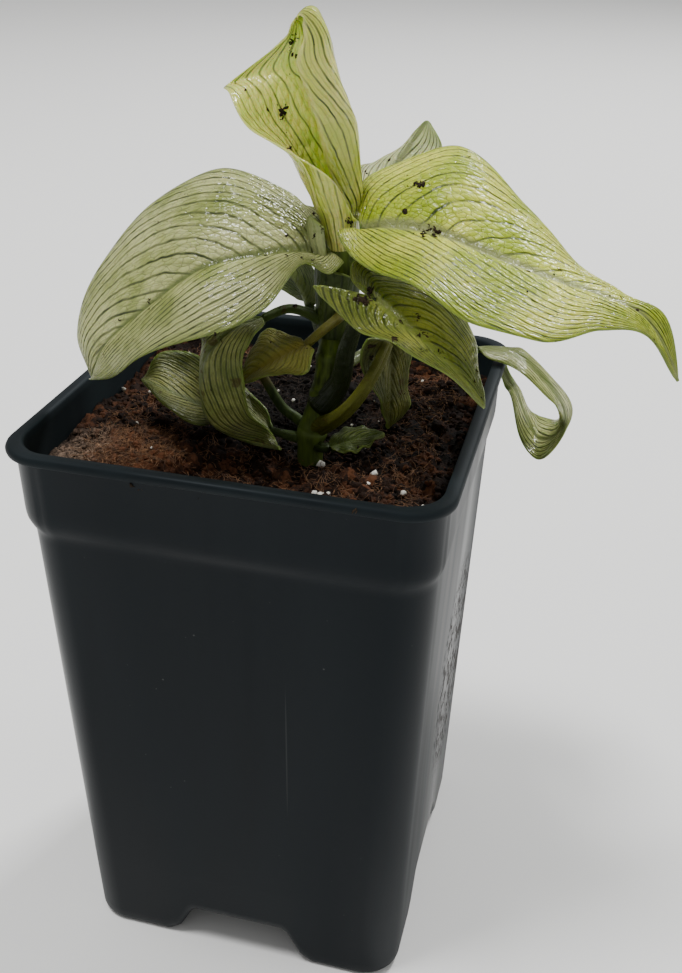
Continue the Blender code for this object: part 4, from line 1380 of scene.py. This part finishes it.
@dataclass
class Stem:
    """The cane, ringed at each leaf scar."""
    scars: tuple = (149.0, 158.5, 167.0, 176.0, 184.0)
    swell: float = 0.45
    scar_length: float = 1.6
    rows: int = 260
    sides: int = 40

    @staticmethod
    def centre_at(height: float) -> np.ndarray:
        """Find the point of the cane's centre line at a height."""
        path = catmull_rom(STEM_PATH, np.linspace(0.0, len(STEM_PATH) - 1, 200))
        return path[np.argmin(np.abs(path[:, 2] - height))]

    def build(self, yard: Yard) -> bpy.types.Object:
        """Make the cane.

        Args:
            yard: The frame that the mesh is made in.

        Returns:
            The finished piece.
        """
        places = np.linspace(0.0, len(STEM_PATH) - 1, self.rows)
        path = catmull_rom(STEM_PATH, places)
        radii = catmull_rom(STEM_RADIUS, places)
        # Each scar is a low swelling with a fine crease above it.
        for height in self.scars:
            offset = path[:, 2] - height
            radii = radii + self.swell * bell(offset, self.scar_length) - 0.15 * bell(offset - 0.9, 0.35)
        stem, heights = rounded_tube(yard, "stem_cane", path, radii, self.sides)
        # It is pale in the creases, towards the crown and at its foot.
        pale = sum(bell(heights - height - 0.5, 0.6) for height in self.scars) * 0.7
        crown, foot = smooth_step(186.0, 196.0, heights), smooth_step(160.0, 149.0, heights)
        pale = 0.5 * pale + 0.5 * crown + 0.45 * foot
        write_layers(stem, {Layer.SCAR: np.clip(pale, 0.0, 1.0)})
        return yard.hand_over(stem, StemSkin().build(yard), "stem", "stem")


@dataclass
class BareStalk:
    """A leaf stalk that has lost its blade, with a dried tip."""
    seat: float = 149.5
    path: tuple = ((7.0, -10.0, 150.0), (3.0, -9.5, 152.5), (-1.5, -9.5, 159.5))
    radii: tuple = (1.4, 1.1)
    rows: int = 60
    sides: int = 20

    def build(self, yard: Yard) -> bpy.types.Object:
        """Make the stalk.

        Args:
            yard: The frame that the mesh is made in.

        Returns:
            The finished piece.
        """
        knots = (tuple(Stem.centre_at(self.seat)), *self.path)
        path = catmull_rom(knots, np.linspace(0.0, len(knots) - 1, self.rows))
        radii = np.linspace(*self.radii, self.rows)
        stalk, heights = rounded_tube(yard, "bare_stalk", path, radii, self.sides)
        write_layers(stalk, {Layer.SCAR: smooth_step(156.5, 159.5, heights) * 0.6})
        skin = StemSkin(dark="#2c3a18", green="#48582a", pale="#5a4c2a")
        return yard.hand_over(stalk, skin.build(yard), "leaf_deep", "stalk_bare")


@dataclass(frozen=True)
class Wrap:
    """A leaf base rolled part of the way round the crown, as an open cone with a slanting upper edge."""
    name: str
    slot: str
    finish: LeafFinish
    centres: tuple         # of the roll, from its foot up
    radii: tuple
    turn: tuple            # from this angle to that one, in degrees
    edge: tuple            # places along the turn and the share of the height where the upper edge lies
    veins: int = 9
    rows: int = 46
    columns: int = 44
    thickness: float = 0.45
    rung: float = 2.6      # spacing of the small rungs

    def build(self, yard: Yard) -> bpy.types.Object:
        """Make the roll as one closed mesh with a leaf's layers.

        Args:
            yard: The frame that the mesh is made in.

        Returns:
            The finished piece.
        """
        across = np.linspace(0.0, 1.0, self.columns)
        # The upper edge is averaged over a short stretch, which rounds its corners.
        edge = np.interp(across[:, None] + np.linspace(-0.03, 0.03, 7), *zip(*self.edge)).mean(axis=1)
        up = np.linspace(0.0, 1.0, self.rows)[:, None] * edge
        knots = up.ravel() * (len(self.centres) - 1)
        centres = catmull_rom(self.centres, knots).reshape(*up.shape, 3)
        radii = catmull_rom(self.radii, knots).reshape(up.shape)
        angles = np.radians(self.turn[0] + (self.turn[1] - self.turn[0]) * across)
        ways = np.stack([np.cos(angles), np.sin(angles), np.zeros_like(angles)], axis=-1)[None]
        outer = centres + ways * radii[:, :, None]
        inner = centres + ways * (radii - self.thickness)[:, :, None]
        height = np.linalg.norm(np.asarray(self.centres[-1]) - np.asarray(self.centres[0]))
        veins = np.repeat(across[None] * self.veins + FIRST_VEIN, self.rows, axis=0)
        facts = {Layer.VEIN: veins, Layer.PACE: pace_of(veins, outer), Layer.LADDER: up * height / self.rung,
                 Layer.RIB: np.full(up.shape, FAR_OFF), Layer.ALONG: np.full(up.shape, 0.5),
                 Layer.EDGE: np.minimum((up[-1:] - up) * height, FAR_OFF),
                 Layer.STALK: smooth_step(0.2, 0.0, up) * 0.6}
        piece = sheet_solid(yard, self.name, outer, inner, facts)
        return yard.hand_over(piece, self.finish.build(yard), self.slot)


@dataclass
class Litter:
    """Crumbs of potting mix caught on the leaves, laid where the photograph's sight lines meet them."""
    camera: PhotoCamera
    seed: int = 23
    piles: tuple = (
        # pixel x, pixel y, spread in pixels, number, largest radius in mm
        (418, 185, 6, 16, 0.75), (405, 211, 3, 8, 0.55), (434, 232, 9, 20, 0.55), (424, 234, 4, 8, 0.6),
        (391, 148, 2, 5, 0.5), (388, 160, 2, 4, 0.45), (366, 172, 2, 3, 0.4),
        (282, 113, 7, 9, 0.6), (290, 148, 2, 4, 0.5), (245, 90, 1, 1, 0.4), (267, 110, 1, 1, 0.4),
        (292, 42, 4, 10, 0.45), (350, 222, 5, 10, 0.5),
        (362, 300, 7, 26, 0.75), (370, 290, 4, 10, 0.7), (400, 322, 4, 6, 0.5), (395, 340, 3, 8, 0.7),
        (420, 335, 5, 8, 0.5), (425, 350, 4, 6, 0.5), (440, 352, 3, 4, 0.4), (418, 318, 4, 6, 0.5),
        (372, 346, 3, 9, 0.75), (371, 358, 3, 7, 0.6), (295, 306, 2, 6, 0.7), (215, 335, 2, 3, 0.45),
        (221, 340, 2, 3, 0.4), (271, 342, 2, 2, 0.4), (314, 214, 2, 4, 0.45), (322, 229, 3, 6, 0.4),
        (314, 236, 2, 5, 0.4), (286, 236, 1, 2, 0.5), (266, 256, 1, 1, 0.35), (287, 256, 2, 2, 0.35),
        (302, 258, 2, 2, 0.3), (313, 260, 1, 2, 0.3), (610, 295, 1, 2, 0.5), (622, 298, 1, 2, 0.45),
        (637, 310, 1, 2, 0.45), (560, 270, 2, 2, 0.35), (150, 300, 3, 3, 0.35), (120, 320, 2, 2, 0.3),
        (132, 486, 2, 3, 0.5), (140, 490, 2, 3, 0.45), (198, 499, 1, 1, 0.35), (354, 512, 2, 3, 0.5),
        (294, 36, 5, 5, 0.3), (293, 55, 4, 5, 0.35))
    grains: tuple = (
        # pixel x, pixel y, radius in mm
        (319, 468, 1.25), (373, 475, 1.0), (364, 486, 0.9), (405, 495, 1.0), (293, 403, 0.8), (124, 391, 0.8),
        (315, 496, 0.8), (322, 497, 0.9), (329, 496, 0.7), (354, 427, 0.7))

    def build(self, yard: Yard, carriers: list[bpy.types.Object], leaves: list[bpy.types.Object],
              surface: bpy.types.Object) -> None:
        """Lay the crumbs on the leaves and the larger perlite grains on the soil.

        Args:
            yard: The frame that the meshes are made in.
            carriers: Every piece that a crumb could meet first.
            leaves: The leaves among them, which also carry stray crumbs.
            surface: The soil's top.
        """
        tree = self._tree(carriers)
        draw = random.Random(self.seed)
        points, faces = [], []
        for x, y, spread, number, largest in self.piles:
            slant = draw.uniform(0.0, math.pi)
            for _ in range(number * 2):
                far, aside = draw.gauss(0.0, spread * 0.75), draw.gauss(0.0, spread * 0.3)
                hit = self._meet(yard, tree, x + far * math.cos(slant) - aside * math.sin(slant),
                                 y + far * math.sin(slant) + aside * math.cos(slant))
                if hit is not None:
                    size = draw.uniform(0.25, 1.0) ** 2 * largest * math.exp(-abs(far) / (2.0 * spread))
                    self._crumb(points, faces, *hit, max(size, 0.1), draw)
        for leaf in leaves:
            mesh = leaf.data
            for _ in range(max(3, len(mesh.vertices) // 1200)):
                vertex = mesh.vertices[draw.randrange(len(mesh.vertices) // 2)]
                if vertex.normal.z > 0.2:
                    self._crumb(points, faces, vertex.co, vertex.normal, draw.uniform(0.12, 0.28), draw)
        damp = PottingMix("damp_peat_crumbs", "#1a150e", "#2f251a", "#4a3b29")
        self._lay(yard, "leaf_litter", points, faces, damp)
        ground = self._tree([surface])
        points, faces = [], []
        for x, y, size in self.grains:
            hit = self._meet(yard, ground, x, y)
            if hit is not None:
                self._crumb(points, faces, *hit, size, draw, flat=False)
        bright = MatteGrain("bright_perlite", "#efece4", "#cfcabd", 1400.0)
        self._lay(yard, "large_perlite", points, faces, bright)

    @staticmethod
    def _lay(yard: Yard, name: str, points: list, faces: list, finish: Finish) -> None:
        """Make one piece of the crumbs gathered so far and hand it over.

        Args:
            yard: The frame that the mesh is made in.
            name: The piece's name.
            points: The crumbs' points, in metres in the frame.
            faces: Their faces, as point numbers.
            finish: What they are made of.
        """
        piece = yard.piece(name, (np.array(points) - np.array(yard.offset)) / MM, faces)
        close_up(piece)
        yard.hand_over(piece, finish.build(yard), "soil")

    @staticmethod
    def _tree(carriers: list[bpy.types.Object]) -> BVHTree:
        """Gather the surfaces that a sight line can meet."""
        points, faces = [], []
        for carrier in carriers:
            start = len(points)
            points += [vertex.co.copy() for vertex in carrier.data.vertices]
            faces += [[start + k for k in face.vertices] for face in carrier.data.polygons]
        return BVHTree.FromPolygons(points, faces)

    def _meet(self, yard: Yard, tree: BVHTree, x: float, y: float) -> tuple[Vector, Vector] | None:
        """Find where the sight line through a pixel meets a surface.

        Args:
            yard: The frame.
            tree: The surfaces.
            x: The pixel's column.
            y: Its row.

        Returns:
            The place and the direction that the surface faces there, or None.
        """
        ray = self.camera.ray(x, y)
        place, normal, _, _ = tree.ray_cast(yard.world(self.camera.place), ray)
        if place is None:
            return None
        return place, -normal if normal.dot(ray) > 0 else normal

    @staticmethod
    def _crumb(points: list, faces: list, place: Vector, normal: Vector, size: float,
               draw: random.Random, flat: bool = True) -> None:
        """Add one rough crumb to what carries it.

        Args:
            points: The points so far, which grow.
            faces: The faces so far, which grow.
            place: Where it lies.
            normal: The direction that its carrier faces.
            size: Its radius in millimetres.
            draw: The source of chance.
            flat: Whether it is a flake, flat and half sunk in, and otherwise a round grain lying on top.
        """
        bm = bmesh.new()
        bmesh.ops.create_icosphere(bm, subdivisions=1, radius=size * MM)
        lie = Vector(normal).to_track_quat("Z", "Y").to_matrix()
        spin = Matrix.Rotation(draw.uniform(0, FULL_TURN), 3, "Z")
        turn = lie @ spin @ Matrix.Rotation(draw.gauss(0, 0.3), 3, "X")
        stretch = Vector((draw.uniform(0.9, 2.1), draw.uniform(0.5, 1.0), draw.uniform(0.35, 0.6)))
        if not flat:
            stretch = Vector(draw.uniform(0.75, 1.05) for _ in range(3))
        start = len(points)
        for vertex in bm.verts:
            shaped = turn @ Vector(a * b * draw.uniform(0.6, 1.35) for a, b in zip(vertex.co, stretch))
            points.append(place + normal * size * (0.15 if flat else 0.9) * MM + shaped)
        faces += [[start + vertex.index for vertex in face.verts] for face in bm.faces]
        bm.free()


@dataclass
class Studio:
    """A plain pale floor, soft lights and a bright surround."""
    floor_size: float = 12.0
    target: tuple = (0.0, 0.0, 0.16)     # the point that the lights face
    surround: float = 0.42
    softboxes: tuple = (
        # name, place, size, power
        ("key_softbox", (-0.55, -0.35, 2.4), 0.6, 44.0), ("back_softbox", (0.6, 1.5, 1.8), 0.4, 40.0),
        ("right_softbox", (1.9, 0.5, 0.6), 0.9, 9.0))

    def build(self, yard: Yard) -> None:
        """Make the floor, the lights and the surround.

        Args:
            yard: The frame, which the floor's finish is built with.
        """
        mesh = bpy.data.meshes.new("studio_floor")
        half = self.floor_size / 2
        corners = [(x * half, y * half, 0) for x, y in ((-1, -1), (1, -1), (1, 1), (-1, 1))]
        mesh.from_pydata(corners, [], [(0, 1, 2, 3)])
        floor = bpy.data.objects.new("studio_floor", mesh)
        bpy.context.scene.collection.objects.link(floor)
        mesh.materials.append(Paper().build(yard))
        for softbox in self.softboxes:
            self._light(*softbox)
        world = bpy.data.worlds.new("bright_surround")
        world.use_nodes = True
        background = world.node_tree.nodes["Background"]
        background.inputs["Color"].default_value = (1.0, 1.0, 1.0, 1.0)
        background.inputs["Strength"].default_value = self.surround
        bpy.context.scene.world = world

    def _light(self, name: str, place: tuple, size: float, power: float) -> None:
        """Add a square softbox that faces the plant.

        Args:
            name: The light's name.
            place: Where it hangs, in metres.
            size: Its width.
            power: Its power in watts.
        """
        data = bpy.data.lights.new(name, "AREA")
        data.energy, data.size = power, size
        light = bpy.data.objects.new(name, data)
        light.location = place
        aim = Vector(self.target) - light.location
        light.rotation_euler = aim.to_track_quat("-Z", "Y").to_euler()
        bpy.context.scene.collection.objects.link(light)


LEAVES = (
    Leaf("leaf_large_left", "leaf_milky", MILKY, seat=184.5, stalk=((14.5, -8, 188.5),),
         rib=((13.5, -9.5, 191), (10.8, -10.8, 191.6), (8, -12, 192), (-1, -16, 191), (-12, -19, 188),
              (-24, -21, 179), (-35, -22, 169), (-40, -22, 159)),
         right=((-2, 8, 5), (-5, 13, 6.3), (-8, 17, 7), (-13, 17, 15), (-19, 17, 9), (-18, 13, 3),
                (-11, 6, -1), (0, 0.5, 0)),
         left=((6, -4, 0), (5.6, -5.2, -3.6), (2.6, -5.5, -2), (7, -15, -6), (5, -18, -8), (3, -12, -8),
               (2, -6, -6), (0, -0.5, 0)),
         radius=(1.7, 1.3), arch=(3.0, 2.0),
         veins=15, sweep=(0.5, 0.7), rows=170, columns=30, ruffle=0.9),
    Leaf("leaf_large_right", "leaf_lime", LIME, seat=187.0, stalk=((20.5, -7.5, 192),),
         rib=((21.5, -8.5, 196), (29, -11, 199), (40, -14, 199), (53, -17, 196), (66, -19, 193),
              (76, -20, 191), (84, -20, 187), (92, -20, 175)),
         right=((-5, -6, 2), (-7, -8, -5), (-5, -15, -6), (-3, -19, -7), (-2, -17, -7), (-1, -10, -3),
                (0, -4, -2), (0, -0.5, 0)),
         left=((-3, 7, 4.5), (-8, 18, 6.8), (-2, 22, 14), (2, 21, 6), (2, 14, 0), (2, 7, -1), (3, 3, 1),
               (0, 0.5, 0)),
         radius=(1.7, 1.3), arch=(2.0, 3.0),
         veins=14, sweep=(0.8, 0.5), rows=180, columns=30, ruffle=0.9),
    Leaf("leaf_rolled_top", "leaf_lime", YOUNG, seat=193.0, stalk=((16.8, -4.2, 195),),
         rib=((17, -3, 197), (17, 0, 201), (16, 1, 208), (14, 1, 217), (13, 0, 224), (12, -2, 231),
              (11, -4, 237), (9, -6, 241), (6, -8, 239)),
         right=((0, -3, 2), (-1, -6, 1), (-3, -8, 2), (-3, -10, 2), (-5, -9, 2), (-5, -7, 0), (-3, -5, -1),
                (-1, -3, -2), (0, 0.5, 0)),
         left=((-2.5, -4, 0.5), (-5, -8, -2), (-7, -15, 4), (-16, -16, 1), (-20, -12, 0), (-22, -4, -6),
               (-13, 1, -6), (-6, 2, -6), (0, -0.5, 0)),
         radius=(1.4, 1.2), arch=((-1, -3, -5, -6, -6, -5, -3, -1, 0), (-2, -5, -6, -4, -3, -2, -1, 0, 0)),
         veins=6, sweep=(0.75, 1.1), rows=150, columns=28),
    Leaf("leaf_back", "leaf_silver", SILVER, seat=189.0, stalk=((17.5, 3, 193),),
         rib=((18, 8, 196), (20, 13, 200), (23, 17, 205), (26, 20, 210), (29, 22, 215)),
         right=((4, 1, 3), (8, 0, 3), (10, 1, 1), (7, 1, 0), (0.5, 0, 0)),
         left=((-3, 4, 3), (-7, 8, 2), (-7, 7, -1), (-4, 3, -3), (-0.5, 0, 0)),
         radius=(1.4, 1.0), arch=(1.2, 1.2),
         veins=4, sweep=(1.7, 1.7), rows=80, columns=16),
    Leaf("leaf_front_small", "leaf_lime", FRONT, seat=156.0,
         stalk=((18.5, -14, 163), (20.5, -16, 172), (24, -19, 181)),
         rib=((28, -22, 186), (31, -23.5, 185), (35, -26, 183), (41, -29, 180), (48, -31, 175),
              (54, -32, 169)),
         right=((-13, -7, 5), (-11.5, -5, 1.5), (-10, -3, -1), (-5, -7, 2), (-2, -5, 2), (0, -0.5, 0)),
         left=((-7.6, 7, 1), (-9.5, 13.5, 5.4), (4, 17, 4), (7, 14, -1), (3, 8, -1), (0, 0.5, 0)),
         radius=(2.8, 1.2), arch=(0.5, 1.5),
         veins=9, sweep=(0.75, 1.0), rows=110, columns=24),
    Leaf("leaf_drooping", "leaf_milky", LOW, seat=173.0, stalk=((11, -10, 176.5), (5, -10, 177.5)),
         rib=((0, -14, 176), (-6, -20, 174), (-11, -23, 168), (-12, -24, 160), (-10, -23, 152),
              (-2, -21, 147.5), (6, -19.5, 146)),
         right=((-4, 1, -1), (-8, 2, -1), (-2, 10, -1), (3, 10, 0), (3, 7, 1), (2, 5, 0), (0, 0.5, 0)),
         left=((2, -3, 1), (7, -3, 1), (10, -1, 3), (11, -1, 4), (10, 0, 4), (5, 3, 2), (0, -0.5, 0)),
         radius=(1.3, 1.0), arch=(1.5, 1.5),
         veins=6, sweep=(1.3, 1.3), rows=110, columns=18),
    Leaf("leaf_low_left", "leaf_milky", LOW, seat=147.0, stalk=((6, -13.5, 147),),
         rib=((1, -12, 147), (-7, -11.5, 149), (-15, -15, 152.5), (-22, -17, 156), (-30, -16, 158)),
         right=((-1, 4, 2), (-4, 9, 6), (-5, 9, 9), (-5, 7, 7), (0, 0.5, 0)),
         left=((-1, -2, 0), (-3.5, -2, -1), (0.5, -6, -2.3), (0, -4.5, -1.5), (0, -0.5, 0)),
         radius=(1.3, 0.9), arch=(-1.5, 0.8),
         veins=9, sweep=(0.8, 0.8), columns=16),
    Leaf("leaf_yellowing", "leaf_faded", FADED, seat=178.0, stalk=((18, -13, 178.5), (15, -16.5, 176)),
         rib=((11, -17, 172), (7, -18, 170), (3, -18, 167), (-1, -18, 164), (-5, -18, 160)),
         right=((-1, 3, 0), (-3, 7, 2), (-3, 8, 5), (-2, 5, 4), (0, 0.5, 0)),
         left=((3, -2, 1), (6, -5, -2), (4, -3, -1), (2, -3, 0), (0, -0.5, 0)),
         radius=(1.3, 1.1), arch=(0.6, 0.6),
         veins=9),
    Leaf("leaf_hanging_right", "leaf_faded", OLIVE, seat=150.0,
         stalk=((18, -17.5, 154.5), (23, -18, 160), (27, -15.5, 167)),
         rib=((29, -11, 173), (29, -8, 168), (29, -7, 161), (29, -7, 155), (29, -7, 149)),
         right=((-4, -3, 2), (-6, -6, 0), (-2, -5, -2), (-1, -2, -2), (0, -0.5, 0)),
         left=((5, 4, 0), (4, 4, -2), (3, 5, -2), (4, 4, -2), (0, 0.5, 0)),
         radius=(2.0, 1.3), arch=(0.6, 0.6),
         veins=7, sweep=(0.8, 0.8)),
    Leaf("leaf_low_right", "leaf_deep", DEEP, seat=146.5, stalk=((15, -16.5, 146.5),),
         rib=((17, -16.5, 147), (20, -15.5, 148), (24, -14, 149), (29, -12, 150)),
         right=((1, -2, 0), (3, -4, -0.5), (2, -3, -0.5), (0, -0.5, 0)),
         left=((-1, 3, 0), (-1, 5, 1), (0, 4, 1), (0, 0.5, 0)),
         radius=(1.2, 0.9), arch=(0.8, 0.8),
         veins=6, sweep=(0.8, 0.8), rows=50, columns=12),
    Leaf("leaf_over_rim", "leaf_milky", MILKY, seat=162.0, stalk=((23, 4, 165), (33, 20, 162)),
         rib=((44, 34, 156), (52, 34, 156), (57, 32, 154), (64, 31, 148), (68, 32, 141), (67, 36, 132),
              (62, 41, 128), (58, 44, 132), (54, 46, 139), (52, 46, 142), (50, 45, 146), (49.5, 44.5, 149)),
         right=((1, -4, -1.5), (0, -4, -2.4), (1, -5, -2), (0, -5, -1), (-1, -4, 2), (-1, 8, 1), (-1, 8, 3),
                (0, 6, 1), (1, 3, 0), (1, 0, 1), (1.2, 0, 0.6), (0.8, 0, 0.4)),
         left=((-0.5, 1.5, 0), (0, 2, 0), (-0.5, 3.5, 1.5), (0, 5, 1), (2.2, 4.5, -1), (0.6, -8, 0.3),
               (1, -9, -2), (-0.8, -6.5, -2.6), (-1, -3, 0), (-1, -1, -1), (-1.2, 0, -0.6), (-0.8, 0, -0.4)),
         radius=(1.3, 1.0), arch=(0.5, 0.5),
         veins=9, rows=120),
    Leaf("leaf_hidden_left", "leaf_deep", SHADED, seat=168.0, stalk=((10.5, -4, 171.5),),
         rib=((8, 0, 175), (4, 5, 178), (-2, 10, 181), (-10, 16, 182), (-17, 20, 183)),
         right=((-2, 2, 0), (-4, 3, -4), (-5, 4, -6), (-4, 3, -4), (0, 0.5, 0)),
         left=((2, -2, 2), (5, -5, 4), (6, -6, 4), (5, -5, 4), (0, -0.5, 0)),
         radius=(1.4, 1.0), arch=(0.8, 0.8),
         veins=7, sweep=(1.0, 1.0)),
)


WRAPS = (
    Wrap("rolled_leaf_base", "leaf_lime", YOUNG,
         centres=((16.2, -5.6, 187.0), (16.2, -5.4, 193.0), (15.0, -5.2, 200.0), (12.8, -5.0, 207.0),
                  (10.8, -4.8, 214.0)),
         radii=(3.4, 3.8, 4.8, 6.4, 7.8), turn=(-215.0, 10.0),
         edge=((0.0, 1.0), (0.2, 1.0), (0.51, 0.9), (0.62, 0.82), (0.69, 0.74), (0.74, 0.6), (0.8, 0.48),
               (1.0, 0.4)), columns=90),
    # Its near-black green is partly painted shade under the crown.
    Wrap("leaf_sheath_with_painted_shade", "leaf_deep", SHADE_DARKENED_SHEATH,
         centres=((15.2, -8.6, 172.0), (15.7, -7.9, 178.0), (15.8, -7.2, 184.0), (15.8, -6.6, 189.0)),
         radii=(3.8, 4.6, 5.3, 5.5), turn=(-215.0, 5.0),
         edge=((0.0, 0.9), (0.35, 1.0), (0.7, 0.9), (1.0, 0.7)), veins=6),
    Wrap("pale_leaf_sheath", "leaf_milky", SHEATH,
         centres=((14.8, -7.2, 188.0), (14.6, -7.2, 191.0), (14.2, -7.0, 195.0), (13.8, -6.8, 200.0)),
         radii=(4.6, 5.0, 5.5, 5.8), turn=(-165.0, -92.0),
         edge=((0.0, 0.75), (0.5, 1.0), (1.0, 0.86)), veins=3),
)


def main() -> None:
    """Build the potted plant in order and report each piece."""
    logging.basicConfig(level=logging.INFO, format="%(name)s: %(message)s")
    for old in list(bpy.data.objects):
        bpy.data.objects.remove(old)
    yard = Yard.load()
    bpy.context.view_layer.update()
    camera = PhotoCamera()
    camera.set_up(yard)
    Studio().build(yard)
    pot = Pot()
    pot_piece = pot.build(yard)
    surface, bed = Soil(pot).build(yard)
    stem = Stem().build(yard)
    leaves = [leaf.build(yard) for leaf in LEAVES]
    wraps = [wrap.build(yard) for wrap in WRAPS]
    stalk = BareStalk().build(yard)
    Litter(camera).build(yard, [pot_piece, bed, stem, stalk, *leaves, *wraps], leaves, surface)
    bpy.data.objects.remove(surface)
    bpy.context.view_layer.update()
    LOG.info("all pieces: %d triangles", yard.faces_made)


if __name__ == "__main__":
    main()
